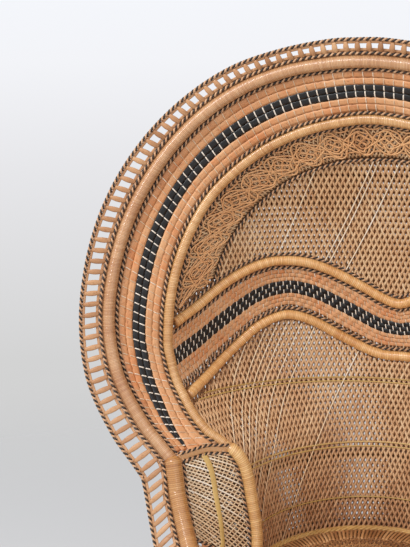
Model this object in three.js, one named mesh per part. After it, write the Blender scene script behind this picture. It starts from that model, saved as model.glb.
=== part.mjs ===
// Peacock chair: a woven rattan armchair with a large round hood, a dished back, sweeping arms and an hourglass pedestal.
// Units are millimetres, +Z is up, the sitter faces -Y and +X is on the right of a person who looks at the front.
// The origin is on the floor, at the centre of the chair's bounding box.
import * as THREE from "three";
import { mergeVertices } from "three/addons/utils/BufferGeometryUtils.js";

// ---------------------------------------------------------------- driving dimensions
const HOOD_CENTRE_Z = 975; // height of the hood's centre over the floor
const DEPTH_SHIFT = -50.6; // puts the middle of the whole depth on the origin
const HOOD_OUTER_R = 12.5; // radius of the hood's outer pole with its binding
const HOOD_INNER_R = 11;
const ARM_OUTER_R = 17; // the arm's front post is the fattest member
const ARM_INNER_R = 14;
const WAVE_R = 11; // the two poles that frame the wave across the back
const FRONT_RAIL_R = 13;
const SEAT_RING_R = 9;
const WAIST_RING_R = 9;
const BASE_HOOP_R = 10.5;
const BASE_POST_R = 6;
const RIB_R = 4;
const SEAT_POLE_R = 8;
const BRAID_R = 3;
const WEAVE_T = 5; // thickness of a woven wall
const BORDER_T = 4; // thickness of the open loop border
const GAP = 1.2; // clearance from a pole to the weave that is bound to it
const SEAT_Z = -555; // all heights below are from the hood's centre
const SEAT_RX = 215;
const SEAT_RY = 252.5;
const SEAT_CY = 80.5;
const BASE_HOOP_Z = -HOOD_CENTRE_Z + BASE_HOOP_R * Math.cos(Math.PI / 8); // its lowest facet lies on the floor
const BASE_HOOP_RX = 262;
const BASE_HOOP_RY = 264;
const BASE_HOOP_CY = 70;

// Left half of each rail, from the top centre down (x, y, z); the right half mirrors it.
const INNER_RAIL = [
  [0, 115, 333.5], [-77, 117, 324], [-142, 115, 306], [-205, 111, 277], [-263, 102, 236], [-314, 89, 184],
  [-352, 77, 121], [-379, 66, 50], [-395, 58, -27], [-401, 56, -110], [-396, 58, -152], [-385, 57, -191],
  [-364, 52, -227], [-341, 48, -260], [-313, 46, -288], [-291.5, 51.5, -303.5], [-270.5, 56, -319],
];
const OUTER_RAIL = [
  [0, 47, 440.5], [-54, 47, 438], [-138, 44, 425], [-221, 38, 396], [-298, 29, 349], [-364, 18, 286],
  [-418, 6, 210], [-459, -6, 124], [-483, -18, 30], [-489, -29, -69], [-467, -38, -165], [-417, -43, -250],
  [-375, -45, -297], [-355.5, -46.5, -317.5],
];
const EDGE_RAIL = [
  [0, 28, 480.5], [-59, 28, 478], [-149, 24, 462], [-240, 18, 433], [-324, 8, 383], [-399, -4, 316],
  [-461, -18, 234], [-506, -32, 140], [-532, -45, 36], [-538, -57, -72], [-518, -67, -179], [-467, -73, -274],
  [-418, -75, -335], [-400, -75, -358.5],
];
const ARM_OUTER = [
  [-345, -48.5, -322], [-341, -52, -342], [-335, -56, -375], [-331, -60, -391.6], [-307, -80, -449.9], [-272, -118, -500],
  [-225, -158, -530], [-172, -191, -546.5],
];
const ARM_INNER = [[-268, 56.8, -321], [-255, 61, -332.5], [-244, 66, -352], [-236, 69, -380], [-229, 70, -421], [-217, 66, -488], [-213.5, 57, -540]];
const ARM_EDGE = [
  [-398, -75, -361.7], [-390.6, -80, -392.5], [-375, -93, -444.7], [-361, -105, -483.4], [-325, -150, -540],
  [-272, -195, -575], [-200, -232, -598],
];
const FRONT_OUTER = [[-166, -194.5, -548.3], [-125, -213, -554], [-80, -228, -557], [0, -237, -559]];
const FRONT_EDGE = [[-196.5, -233.5, -599], [-100, -262, -610], [0, -272, -614]];
const COLLAR_OUTER = [
  [-301, -86, -459], [-272, -118, -500], [-225, -158, -530], [-165, -195.5, -548], [-80, -228, -557], [0, -237, -559],
];
const COLLAR_INNER = [
  [-214, 42, -556], [-209, 20, -555], [-191, -35, -555], [-160, -88, -555], [-112, -135, -555], [-57, -163.5, -555],
  [0, -172, -555],
];

// The dished back: for each height its depth on the centre plane, and the half width and depth of its level section.
const DISH_DEPTH = [
  [-600, 325], [-545, 333], [-460, 344], [-380, 354], [-300, 361], [-234, 363], [-180, 363], [-117.6, 357],
  [-60, 344], [0, 325], [100, 283], [200, 222], [280, 163], [333, 114.8], [420, 20],
];
const DISH_HALF_WIDTH = [
  [-600, 215], [-545, 215], [-485, 218], [-420, 231.3], [-345, 254], [-300, 289], [-250, 345], [-200, 392],
  [-150, 414], [-100, 420], [0, 420], [420, 420],
];
const DISH_SECTION_DEPTH = [
  [-600, 252.5], [-545, 252.5], [-485, 265], [-420, 290], [-345, 330], [-300, 355], [-200, 400], [-100, 425],
  [0, 430], [420, 430],
];
// Heights of the wave's poles and of the ring under the lace, over the angle from the centre plane in degrees.
const WAVE_TOP = [
  [0, -61], [4.1, -51], [9.5, -28], [14.6, -6], [19.8, 14], [24.9, 28], [30.3, 34], [34.4, 34], [38.8, 28],
  [47, 5], [53.4, -20], [60.3, -49], [67.5, -72], [72, -86],
];
const WAVE_BOTTOM = [
  [0, -177.5], [3.6, -177.5], [7.9, -171.5], [13.3, -153.5], [18.8, -131.5], [24, -108.5], [28.1, -94.5], [32.2, -86.5],
  [36.4, -92.5], [42.1, -110.5], [48.3, -140.5], [55.7, -172.5], [64.9, -202.5], [72.6, -218.5], [78, -227.5],
];
const LACE_RING = [
  [0, 252.5], [3.8, 252], [10, 247], [16.3, 235], [22.5, 218], [28.6, 195], [34.4, 166], [40, 133], [45, 95],
  [49.4, 54], [52.9, 9], [55.5, -38],
];
// The pedestal's section: height, half width, half depth, centre depth.
const SKIRT = [
  [-955, 253, 256, 70], [-900, 210, 218, 72], [-820, 172, 184, 74], [-760, 165, 178, 75], [-700, 172, 188, 76],
  [-620, 196, 222, 79], [-566, 214, 251, 80.5],
];

// ---------------------------------------------------------------- helpers
// Monotone cubic through a table of (key, value), keys rising.
function smooth(table, column = 1) {
  const x = table.map((r) => r[0]), y = table.map((r) => r[column]), n = x.length;
  const h = [], d = [];
  for (let i = 0; i < n - 1; i++) {
    h.push(x[i + 1] - x[i]);
    d.push((y[i + 1] - y[i]) / h[i]);
  }
  const m = new Array(n);
  m[0] = d[0];
  m[n - 1] = d[n - 2];
  for (let i = 1; i < n - 1; i++) {
    if (d[i - 1] * d[i] <= 0) m[i] = 0;
    else {
      const a = 2 * h[i] + h[i - 1], b = h[i] + 2 * h[i - 1];
      m[i] = (a + b) / (a / d[i - 1] + b / d[i]);
    }
  }
  return (v) => {
    let i = 0;
    while (i < n - 2 && v > x[i + 1]) i++;
    const t = (v - x[i]) / h[i], t2 = t * t, t3 = t2 * t;
    return (2 * t3 - 3 * t2 + 1) * y[i] + (t3 - 2 * t2 + t) * h[i] * m[i] + (3 * t2 - 2 * t3) * y[i + 1] + (t3 - t2) * h[i] * m[i + 1];
  };
}
const V = (x, y, z) => new THREE.Vector3(x, y, z);
const mirrored = (half) => [...half.slice().reverse(), ...half.filter((p) => p[0] !== 0).map(([x, y, z]) => [-x, y, z])];
const curve = (points, side = 1) =>
  new THREE.CatmullRomCurve3(points.map(([x, y, z]) => V(x * side, y, z)), false, "catmullrom", 0.5);

const dishDepth = smooth(DISH_DEPTH);
const dishHalfWidth = smooth(DISH_HALF_WIDTH);
const dishSection = smooth(DISH_SECTION_DEPTH);
// A point on the dish at an angle from the centre plane (radians, positive to +X) and a height.
const dishAt = (phi, z) => V(dishHalfWidth(z) * Math.sin(phi), dishDepth(z) - dishSection(z) * (1 - Math.cos(phi)), z);
// A point on the dish at x and z.
const dish = (x, z) => dishAt(Math.asin(THREE.MathUtils.clamp(x / dishHalfWidth(z), -1, 1)), z);
// The dish's outward (rear) normal.
function dishNormal(x, z) {
  const phi = Math.asin(THREE.MathUtils.clamp(x / dishHalfWidth(z), -0.9999, 0.9999));
  const a = dishAt(phi + 0.01, z).sub(dishAt(phi - 0.01, z));
  const b = dishAt(phi, z + 3).sub(dishAt(phi, z - 3));
  return b.cross(a).normalize();
}
const skirtX = smooth(SKIRT, 1), skirtY = smooth(SKIRT, 2), skirtC = smooth(SKIRT, 3);
const skirt = (t, z, inward = 0) =>
  V((skirtX(z) - inward) * Math.cos(t), skirtC(z) + (skirtY(z) - inward) * Math.sin(t), z);

// A round pole along a path, closed by its own end faces.
function pole(path, radius, steps, sides = 8) {
  const section = new THREE.Shape();
  for (let i = 0; i < sides; i++) {
    const a = (2 * Math.PI * (i + 0.5)) / sides;
    section[i ? "lineTo" : "moveTo"](radius * Math.cos(a), radius * Math.sin(a));
  }
  section.closePath();
  return welded(new THREE.ExtrudeGeometry(section, { steps, extrudePath: path, bevelEnabled: false }));
}
function welded(geometry) {
  geometry.deleteAttribute("normal");
  geometry.deleteAttribute("uv");
  return mergeVertices(geometry, 1e-3);
}
// A round hoop along a closed plan curve: a torus whose ring is stretched to the plan.
function hoop(rx, ry, cy, z, radius, ringSteps, sides = 8) {
  const at = (t) => V(rx * Math.cos(t), cy + ry * Math.sin(t), z);
  const position = [], index = [];
  for (let i = 0; i < ringSteps; i++) {
    const t = (2 * Math.PI * i) / ringSteps, c = at(t);
    const out = V(ry * Math.cos(t), rx * Math.sin(t), 0).normalize();
    for (let j = 0; j < sides; j++) {
      const a = (2 * Math.PI * (j + 0.5)) / sides;
      position.push(...c.clone().addScaledVector(out, radius * Math.cos(a)).add(V(0, 0, radius * Math.sin(a))));
    }
  }
  for (let i = 0; i < ringSteps; i++)
    for (let j = 0; j < sides; j++) {
      const i2 = (i + 1) % ringSteps, j2 = (j + 1) % sides;
      const a = i * sides + j, b = i2 * sides + j, c = i2 * sides + j2, d = i * sides + j2;
      index.push(a, b, c, a, c, d);
    }
  return solid(position, index);
}
function solid(position, index) {
  const g = new THREE.BufferGeometry();
  g.setAttribute("position", new THREE.Float32BufferAttribute(position, 3));
  g.setIndex(index);
  // Faces point out: the signed volume tells which way round they were laid.
  let volume = 0;
  const p = (i) => V(position[3 * i], position[3 * i + 1], position[3 * i + 2]);
  for (let i = 0; i < index.length; i += 3) volume += p(index[i]).dot(p(index[i + 1]).cross(p(index[i + 2])));
  if (volume < 0) for (let i = 0; i < index.length; i += 3) [index[i + 1], index[i + 2]] = [index[i + 2], index[i + 1]];
  g.setIndex(index);
  return g;
}
// A wall of even thickness over a surface (u, v in 0..1); with ring set, u closes on itself.
function wall(surface, nu, nv, thickness, ring = false) {
  const cols = ring ? nu : nu + 1, rows = nv + 1, position = [], index = [];
  const e = 1e-3;
  for (const side of [0.5, -0.5])
    for (let i = 0; i < cols; i++)
      for (let j = 0; j < rows; j++) {
        const u = i / nu, v = j / nv;
        const u0 = ring ? u - e : Math.max(0, u - e), u1 = ring ? u + e : Math.min(1, u + e);
        const du = surface(u1, v).sub(surface(u0, v));
        const dv = surface(u, Math.min(1, v + e)).sub(surface(u, Math.max(0, v - e)));
        const n = du.cross(dv).normalize();
        position.push(...surface(u, v).addScaledVector(n, side * thickness));
      }
  const id = (side, i, j) => side * cols * rows + (i % cols) * rows + j;
  for (let i = 0; i < nu; i++) {
    for (let j = 0; j < nv; j++) {
      index.push(id(0, i, j), id(0, i + 1, j), id(0, i + 1, j + 1), id(0, i, j), id(0, i + 1, j + 1), id(0, i, j + 1));
      index.push(id(1, i, j), id(1, i + 1, j + 1), id(1, i + 1, j), id(1, i, j), id(1, i, j + 1), id(1, i + 1, j + 1));
    }
    for (const [j, f] of [[0, 1], [nv, 0]]) {
      const a = id(0, i, j), b = id(0, i + 1, j), c = id(1, i + 1, j), d = id(1, i, j);
      if (f) index.push(a, d, c, a, c, b);
      else index.push(a, b, c, a, c, d);
    }
  }
  if (!ring)
    for (let j = 0; j < nv; j++)
      for (const [i, f] of [[0, 0], [nu, 1]]) {
        const a = id(0, i, j), b = id(0, i, j + 1), c = id(1, i, j + 1), d = id(1, i, j);
        if (f) index.push(a, d, c, a, c, b);
        else index.push(a, b, c, a, c, d);
      }
  return solid(position, index);
}
// The surface between two rails, held clear of each by a distance, and cut to a share v0..v1 of what is left.
function ribbon(inner, outer, clearInner, clearOuter, v0 = 0, v1 = 1, u0 = 0, u1 = 1) {
  return (u, v) => {
    const s = THREE.MathUtils.clamp(u0 + (u1 - u0) * u, 0, 1);
    const a = inner.getPointAt(s), b = outer.getPointAt(s);
    const d = b.clone().sub(a), length = d.length();
    d.normalize();
    // A line that meets a pole at a slant has to stop further along it to keep the same distance.
    const c0 = clearInner / Math.max(0.5, d.clone().cross(inner.getTangentAt(s)).length());
    const c1 = clearOuter / Math.max(0.5, d.clone().cross(outer.getTangentAt(s)).length());
    const usable = length - c0 - c1;
    return a.addScaledVector(d, c0 + usable * (v0 + (v1 - v0) * v));
  };
}

const RATTAN = 0xc98f55, CORE = 0xd9b98a, BLACK = 0x1d1a18, POLE = 0xb98a52;
const chair = new THREE.Group();
const body = new THREE.Group();
body.position.set(0, DEPTH_SHIFT, HOOD_CENTRE_Z);
chair.add(body);
function piece(name, geometry, colour, roughness) {
  const mesh = new THREE.Mesh(geometry, new THREE.MeshStandardMaterial({ color: colour, roughness, metalness: 0 }));
  mesh.name = name;
  body.add(mesh);
}

// ---------------------------------------------------------------- hood
const innerRail = curve(mirrored(INNER_RAIL)), outerRail = curve(mirrored(OUTER_RAIL)), edgeRail = curve(mirrored(EDGE_RAIL));
piece("hood_outer_tube", pole(outerRail, HOOD_OUTER_R, 38), RATTAN, 0.45);
piece("hood_inner_tube", pole(innerRail, HOOD_INNER_R, 38), RATTAN, 0.45);
const band = (v0, v1) => ribbon(innerRail, outerRail, HOOD_INNER_R + GAP, HOOD_OUTER_R + GAP, v0, v1, 0.019, 0.981);
piece("hood_band_inner", wall(band(0, 0.36), 36, 1, WEAVE_T), RATTAN, 0.6);
piece("hood_band_black", wall(band(0.364, 0.636), 36, 1, WEAVE_T), BLACK, 0.6);
piece("hood_band_outer", wall(band(0.64, 1), 36, 1, WEAVE_T), RATTAN, 0.6);
piece("hood_loop_border", wall(ribbon(outerRail, edgeRail, HOOD_OUTER_R + GAP, BRAID_R + 0.6), 36, 1, BORDER_T), RATTAN, 0.6);
piece("hood_edge_braid", pole(edgeRail, BRAID_R, 36, 5), BLACK, 0.6);

// ---------------------------------------------------------------- dished back
const rad = THREE.MathUtils.degToRad;
const waveTop = smooth(WAVE_TOP), waveBottom = smooth(WAVE_BOTTOM), laceRing = smooth(LACE_RING);
// A height held clear of a slanting line on the dish: the clearance is taken square to the line.
const MM_PER_DEGREE = 7.2; // along a level section of the dish
const clearOf = (heights, phi, clear) => {
  const p = Math.abs(phi), slope = (heights(p + 0.5) - heights(Math.max(0, p - 0.5))) / ((p < 0.5 ? p + 0.5 : 1) * MM_PER_DEGREE);
  return heights(p) + clear * Math.hypot(1, slope);
};
const onDish = (heights, reach, count) => {
  const points = [];
  for (let i = -count; i <= count; i++) {
    const phi = (reach * i) / count;
    points.push(dishAt(rad(phi), heights(Math.abs(phi))));
  }
  return new THREE.CatmullRomCurve3(points, false, "catmullrom", 0.5);
};
const WAVE_TOP_END = 69.2, WAVE_BOTTOM_END = 75.7; // where the wave's poles butt against the hood's inner pole
piece("wave_upper_tube", pole(onDish(waveTop, WAVE_TOP_END, 14), WAVE_R, 28, 6), RATTAN, 0.45);
piece("wave_lower_tube", pole(onDish(waveBottom, WAVE_BOTTOM_END, 16), WAVE_R, 32, 6), RATTAN, 0.45);
// The band's cross lines run from the lower pole to the upper one.
const waveBand = (v0, v1) => (u, v) => {
  const q = 2 * u - 1, phiLow = 73.6 * q, phiHigh = 68.6 * q, t = v0 + (v1 - v0) * v;
  const low = clearOf(waveBottom, phiLow, WAVE_R + 3), high = clearOf(waveTop, phiHigh, -WAVE_R - 3);
  return dishAt(rad(phiLow + (phiHigh - phiLow) * t), low + (high - low) * t);
};
piece("wave_band_lower", wall(waveBand(0, 0.36), 24, 1, WEAVE_T), RATTAN, 0.6);
piece("wave_band_black", wall(waveBand(0.365, 0.655), 24, 1, WEAVE_T), BLACK, 0.6);
piece("wave_band_upper", wall(waveBand(0.66, 1), 24, 1, WEAVE_T), RATTAN, 0.6);
const LACE_END = 53.2;
piece(
  "upper_lattice",
  wall((u, v) => {
    const phi = (LACE_END - 2.2) * (2 * u - 1);
    const low = clearOf(waveTop, phi, WAVE_R + 3), high = clearOf(laceRing, phi, -BRAID_R - 1.8);
    return dishAt(rad(phi), low + (high - low) * v);
  }, 22, 6, WEAVE_T),
  CORE, 0.7,
);
const laceRingCurve = onDish(laceRing, LACE_END, 16);
piece("lace_braid", pole(laceRingCurve, BRAID_R, 32, 5), BLACK, 0.6);
// The lace reaches from its ring out to the hood's inner pole.
const laceRail = curve(mirrored([...INNER_RAIL.slice(0, 9), [-399, 57, -66]]));
const angleOn = (p) => Math.atan2(p.x / dishHalfWidth(p.z), 1 - (dishDepth(p.z) - p.y) / dishSection(p.z));
piece(
  "lace_ring",
  wall((u, v) => {
    const s = THREE.MathUtils.clamp(u, 0, 1), a = laceRingCurve.getPointAt(s), b = laceRail.getPointAt(s);
    const span = a.distanceTo(b), slant = b.clone().sub(a).divideScalar(span).cross(laceRail.getTangentAt(s)).length();
    const near = BRAID_R + 1.5, far = (HOOD_INNER_R + WEAVE_T / 2 + 1.5) / Math.max(0.45, slant);
    const t = (near + (span - near - far) * v) / span;
    return dishAt(angleOn(a) + (angleOn(b) - angleOn(a)) * t, a.z + (b.z - a.z) * t);
  }, 32, 2, WEAVE_T),
  RATTAN, 0.65,
);
// The angle that the lower lattice reaches at each height, clear of the pole at its side.
const LATTICE_FOOT = -540;
const LATTICE_SIDE = smooth([
  [-540, 90.5], [-528, 90.5], [-480, 87], [-420, 83.4], [-345, 79.4], [-300, 79.4], [-250, 76.8], [-236, 74.5],
]);
const latticeTop = (phi) => clearOf(waveBottom, phi, -WAVE_R - 3.5);
piece(
  "lower_lattice",
  wall((u, v) => {
    const zTop = latticeTop(74.5 * (2 * u - 1)), z = LATTICE_FOOT + (zTop - LATTICE_FOOT) * v;
    return dishAt(rad((2 * u - 1) * LATTICE_SIDE(Math.min(z, -236))), z);
  }, 24, 9, WEAVE_T),
  CORE, 0.7,
);
// Level ribs bound behind the weave.
const behind = (x, z, offset) => dish(x, z).addScaledVector(dishNormal(x, z), offset);
const rib = (z, reach) => {
  const points = [];
  for (let i = -8; i <= 8; i++) points.push(behind(dishHalfWidth(z) * Math.sin(((i / 8) * reach * Math.PI) / 180), z, WEAVE_T / 2 + RIB_R + 1.6));
  return new THREE.CatmullRomCurve3(points, false, "catmullrom", 0.5);
};
[["back_rib_1", 208, 38], ["back_rib_2", 158, 46], ["back_rib_3", -235, 68], ["back_rib_4", -400, 74], ["back_rib_5", -490, 74]].forEach(
  ([name, z, reach]) => piece(name, pole(rib(z, reach), RIB_R, 16, 5), POLE, 0.6),
);

// ---------------------------------------------------------------- arms, one on each side
for (const [side, s] of [["left", 1], ["right", -1]]) {
  const outer = curve(ARM_OUTER, s), inner = curve(ARM_INNER, s), edge = curve(ARM_EDGE, s);
  piece("arm_outer_post_" + side, pole(outer, ARM_OUTER_R, 14), RATTAN, 0.5);
  piece("arm_inner_post_" + side, pole(inner, ARM_INNER_R, 9), RATTAN, 0.5);
  piece("arm_loop_border_" + side, wall(ribbon(outer, edge, ARM_OUTER_R + GAP, 0), 12, 1, BORDER_T), RATTAN, 0.6);
  // The arm's lattice panel, cut along its middle for the flat rib.
  const outerUpper = curve([...ARM_OUTER.slice(0, 5), [-301, -86, -459]], s);
  const innerFoot = curve([...ARM_INNER, [-212.5, 36, -551]], s); // the panel runs on past the post's foot to the collar
  const half = (a, b, c0, c1) => ribbon(innerFoot, outerUpper, c0, c1, a, b, 0.17, 0.985);
  piece("arm_panel_inner_" + side, wall(half(0, 0.44, ARM_INNER_R + GAP, ARM_OUTER_R + GAP), 8, 1, WEAVE_T), CORE, 0.7);
  piece("arm_rib_" + side, wall(half(0.446, 0.554, ARM_INNER_R + GAP, ARM_OUTER_R + GAP), 8, 1, WEAVE_T), CORE, 0.5);
  piece("arm_panel_outer_" + side, wall(half(0.56, 1, ARM_INNER_R + GAP, ARM_OUTER_R + GAP), 8, 1, WEAVE_T), CORE, 0.7);
  // A flat bridge between the heads of the two posts closes the hood's band.
  const bridge = curve([[-327, -28, -314], [-300, 12, -309.5], [-277, 38, -313.5]].map(([x, y, z]) => [x, y, z - 6]), s);
  const flat = new THREE.Shape();
  flat.moveTo(-2, -5);
  flat.lineTo(2, -5);
  flat.lineTo(2, 5);
  flat.lineTo(-2, 5);
  flat.closePath();
  piece("neck_bridge_" + side, welded(new THREE.ExtrudeGeometry(flat, { steps: 6, extrudePath: bridge, bevelEnabled: false })), RATTAN, 0.5);
}

// ---------------------------------------------------------------- seat
piece("seat_ring", hoop(SEAT_RX, SEAT_RY, SEAT_CY, SEAT_Z, SEAT_RING_R, 32, 6), RATTAN, 0.5);
{
  // The woven seat, a shallow bowl inside its ring.
  const n = 32, rings = [1, 0.62, 0.25], clear = SEAT_RING_R + GAP, position = [], index = [];
  for (const side of [WEAVE_T / 2, -WEAVE_T / 2]) {
    for (const r of rings)
      for (let i = 0; i < n; i++) {
        const t = (2 * Math.PI * i) / n;
        position.push((SEAT_RX - clear) * r * Math.cos(t), SEAT_CY + (SEAT_RY - clear) * r * Math.sin(t), SEAT_Z + 1 - 8 * (1 - r * r) + side);
      }
    position.push(0, SEAT_CY, SEAT_Z + 1 - 8 + side);
  }
  const half = rings.length * n + 1;
  for (let s = 0; s < 2; s++) {
    const tri = (a, b, c) => (s ? index.push(a + half, c + half, b + half) : index.push(a, b, c));
    for (let k = 0; k < rings.length - 1; k++)
      for (let i = 0; i < n; i++) {
        const j = (i + 1) % n;
        tri(k * n + i, k * n + j, (k + 1) * n + j);
        tri(k * n + i, (k + 1) * n + j, (k + 1) * n + i);
      }
    for (let i = 0; i < n; i++) tri((rings.length - 1) * n + i, (rings.length - 1) * n + ((i + 1) % n), half - 1);
  }
  for (let i = 0; i < n; i++) {
    const j = (i + 1) % n;
    index.push(i, half + i, half + j, i, half + j, j);
  }
  piece("seat_panel", solid(position, index), RATTAN, 0.65);
}
piece("seat_front_rail", pole(curve(mirrored(FRONT_OUTER.slice().reverse())), FRONT_RAIL_R, 14), RATTAN, 0.45);
piece(
  "seat_front_band",
  wall(ribbon(curve(mirrored(COLLAR_INNER.slice().reverse())), curve(mirrored(COLLAR_OUTER.slice().reverse())), SEAT_RING_R + GAP, ARM_OUTER_R + GAP, 0, 1, 0.014, 0.986), 26, 1, WEAVE_T),
  RATTAN, 0.6,
);
piece("seat_front_loop_border", wall(ribbon(curve(mirrored(FRONT_OUTER.slice().reverse())), curve(mirrored(FRONT_EDGE.slice().reverse())), FRONT_RAIL_R + GAP, 0), 12, 1, BORDER_T), RATTAN, 0.6);
[["seat_pole_front", 0], ["seat_pole_rear", 160]].forEach(([name, y]) => {
  const reach = 184 * Math.sqrt(1 - ((y - SEAT_CY) / 240) ** 2) - 4;
  piece(name, pole(new THREE.LineCurve3(V(-reach, y, -582), V(reach, y, -582)), SEAT_POLE_R, 1), POLE, 0.6);
});

// ---------------------------------------------------------------- pedestal
const skirtBand = (low, high) => (u, v) => skirt(2 * Math.PI * u, low + (high - low) * v);
piece("pedestal_top_band", wall(skirtBand(-615, -566), 32, 1, WEAVE_T, true), RATTAN, 0.6);
piece("pedestal_upper_lattice", wall(skirtBand(-749, -615.6), 32, 2, WEAVE_T, true), CORE, 0.7);
piece("waist_ring", hoop(skirtX(-760), skirtY(-760), skirtC(-760), -760, WAIST_RING_R, 28, 6), RATTAN, 0.45);
piece("pedestal_lower_lattice", wall(skirtBand(-880, -771), 32, 2, WEAVE_T, true), CORE, 0.7);
piece("pedestal_bottom_band", wall(skirtBand(-951, -880.6), 32, 1, WEAVE_T, true), RATTAN, 0.6);
piece("base_hoop", hoop(BASE_HOOP_RX, BASE_HOOP_RY, BASE_HOOP_CY, BASE_HOOP_Z, BASE_HOOP_R, 36, 8), RATTAN, 0.5);
for (let k = 0; k < 6; k++) {
  const t = (Math.PI / 3) * k + Math.PI / 6, points = [];
  for (let i = 0; i <= 7; i++) points.push(skirt(t, -592 - (343 * i) / 7, 19));
  piece("base_post_" + (k + 1), pole(new THREE.CatmullRomCurve3(points, false, "catmullrom", 0.5), BASE_POST_R, 7, 6), POLE, 0.6);
}

export default chair;
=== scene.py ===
"""Looks of the peacock chair: every woven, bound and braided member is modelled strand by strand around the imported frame."""

import math

import bpy
import numpy as np
from mathutils import Matrix


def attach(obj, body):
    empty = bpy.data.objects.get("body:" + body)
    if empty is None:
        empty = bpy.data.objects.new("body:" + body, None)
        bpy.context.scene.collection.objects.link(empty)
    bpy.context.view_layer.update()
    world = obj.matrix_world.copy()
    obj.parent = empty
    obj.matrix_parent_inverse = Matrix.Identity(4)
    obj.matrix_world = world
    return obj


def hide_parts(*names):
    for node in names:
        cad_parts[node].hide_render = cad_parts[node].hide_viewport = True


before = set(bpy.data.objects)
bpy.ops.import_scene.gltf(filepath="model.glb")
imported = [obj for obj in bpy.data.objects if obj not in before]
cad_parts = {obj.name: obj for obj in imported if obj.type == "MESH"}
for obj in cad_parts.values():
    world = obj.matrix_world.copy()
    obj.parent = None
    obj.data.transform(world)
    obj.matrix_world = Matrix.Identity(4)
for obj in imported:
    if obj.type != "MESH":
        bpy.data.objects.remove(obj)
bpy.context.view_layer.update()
rng = np.random.default_rng(20)

# ------------------------------------------------------------------ the chair's curves, in mm from the hood's centre
SHIFT = np.array([0.0, -50.6, 975.0])
INNER_RAIL = [
    (0, 115, 333.5), (-77, 117, 324), (-142, 115, 306), (-205, 111, 277), (-263, 102, 236), (-314, 89, 184),
    (-352, 77, 121), (-379, 66, 50), (-395, 58, -27), (-401, 56, -110), (-396, 58, -152), (-385, 57, -191),
    (-364, 52, -227), (-341, 48, -260), (-313, 46, -288), (-291.5, 51.5, -303.5), (-270.5, 56, -319),
]
OUTER_RAIL = [
    (0, 47, 440.5), (-54, 47, 438), (-138, 44, 425), (-221, 38, 396), (-298, 29, 349), (-364, 18, 286),
    (-418, 6, 210), (-459, -6, 124), (-483, -18, 30), (-489, -29, -69), (-467, -38, -165), (-417, -43, -250),
    (-375, -45, -297), (-355.5, -46.5, -317.5),
]
EDGE_RAIL = [
    (0, 28, 480.5), (-59, 28, 478), (-149, 24, 462), (-240, 18, 433), (-324, 8, 383), (-399, -4, 316),
    (-461, -18, 234), (-506, -32, 140), (-532, -45, 36), (-538, -57, -72), (-518, -67, -179), (-467, -73, -274),
    (-418, -75, -335), (-400, -75, -358.5),
]
ARM_OUTER = [
    (-345, -48.5, -322), (-341, -52, -342), (-335, -56, -375), (-331, -60, -391.6), (-307, -80, -449.9),
    (-272, -118, -500), (-225, -158, -530), (-172, -191, -546.5),
]
ARM_INNER = [
    (-268, 56.8, -321), (-255, 61, -332.5), (-244, 66, -352), (-236, 69, -380), (-229, 70, -421), (-217, 66, -488),
    (-213.5, 57, -540),
]
ARM_EDGE = [
    (-398, -75, -361.7), (-390.6, -80, -392.5), (-375, -93, -444.7), (-361, -105, -483.4), (-325, -150, -540),
    (-272, -195, -575), (-200, -232, -598),
]
FRONT_OUTER = [(-166, -194.5, -548.3), (-125, -213, -554), (-80, -228, -557), (0, -237, -559)]
FRONT_EDGE = [(-196.5, -233.5, -599), (-100, -262, -610), (0, -272, -614)]
COLLAR_OUTER = [
    (-301, -86, -459), (-272, -118, -500), (-225, -158, -530), (-165, -195.5, -548), (-80, -228, -557), (0, -237, -559),
]
COLLAR_INNER = [
    (-214, 42, -556), (-209, 20, -555), (-191, -35, -555), (-160, -88, -555), (-112, -135, -555), (-57, -163.5, -555),
    (0, -172, -555),
]
DISH_DEPTH = [
    (-600, 325), (-545, 333), (-460, 344), (-380, 354), (-300, 361), (-234, 363), (-180, 363), (-117.6, 357),
    (-60, 344), (0, 325), (100, 283), (200, 222), (280, 163), (333, 114.8), (420, 20),
]
DISH_HALF_WIDTH = [
    (-600, 215), (-545, 215), (-485, 218), (-420, 231.3), (-345, 254), (-300, 289), (-250, 345), (-200, 392),
    (-150, 414), (-100, 420), (0, 420), (420, 420),
]
DISH_SECTION_DEPTH = [
    (-600, 252.5), (-545, 252.5), (-485, 265), (-420, 290), (-345, 330), (-300, 355), (-200, 400), (-100, 425),
    (0, 430), (420, 430),
]
WAVE_TOP = [
    (0, -61), (4.1, -51), (9.5, -28), (14.6, -6), (19.8, 14), (24.9, 28), (30.3, 34), (34.4, 34), (38.8, 28),
    (47, 5), (53.4, -20), (60.3, -49), (67.5, -72), (72, -86),
]
WAVE_BOTTOM = [
    (0, -177.5), (3.6, -177.5), (7.9, -171.5), (13.3, -153.5), (18.8, -131.5), (24, -108.5), (28.1, -94.5),
    (32.2, -86.5), (36.4, -92.5), (42.1, -110.5), (48.3, -140.5), (55.7, -172.5), (64.9, -202.5), (72.6, -218.5),
    (78, -227.5),
]
LACE_RING = [
    (0, 252.5), (3.8, 252), (10, 247), (16.3, 235), (22.5, 218), (28.6, 195), (34.4, 166), (40, 133), (45, 95),
    (49.4, 54), (52.9, 9), (55.5, -38),
]
SKIRT = [
    (-955, 253, 256, 70), (-900, 210, 218, 72), (-820, 172, 184, 74), (-760, 165, 178, 75), (-700, 172, 188, 76),
    (-620, 196, 222, 79), (-566, 214, 251, 80.5),
]
LATTICE_SIDE = [
    (-540, 90.5), (-528, 90.5), (-480, 87), (-420, 83.4), (-345, 79.4), (-300, 79.4), (-250, 76.8), (-236, 74.5),
]
SEAT = (215.0, 252.5, 80.5, -555.0)  # half width, half depth, centre depth and height of the seat's ring
BASE_HOOP = (262.0, 264.0, 70.0, -964.5)
HOOD_OUTER_R, HOOD_INNER_R, WAVE_R, ARM_OUTER_R, ARM_INNER_R = 12.5, 11.0, 11.0, 17.0, 14.0
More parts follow.
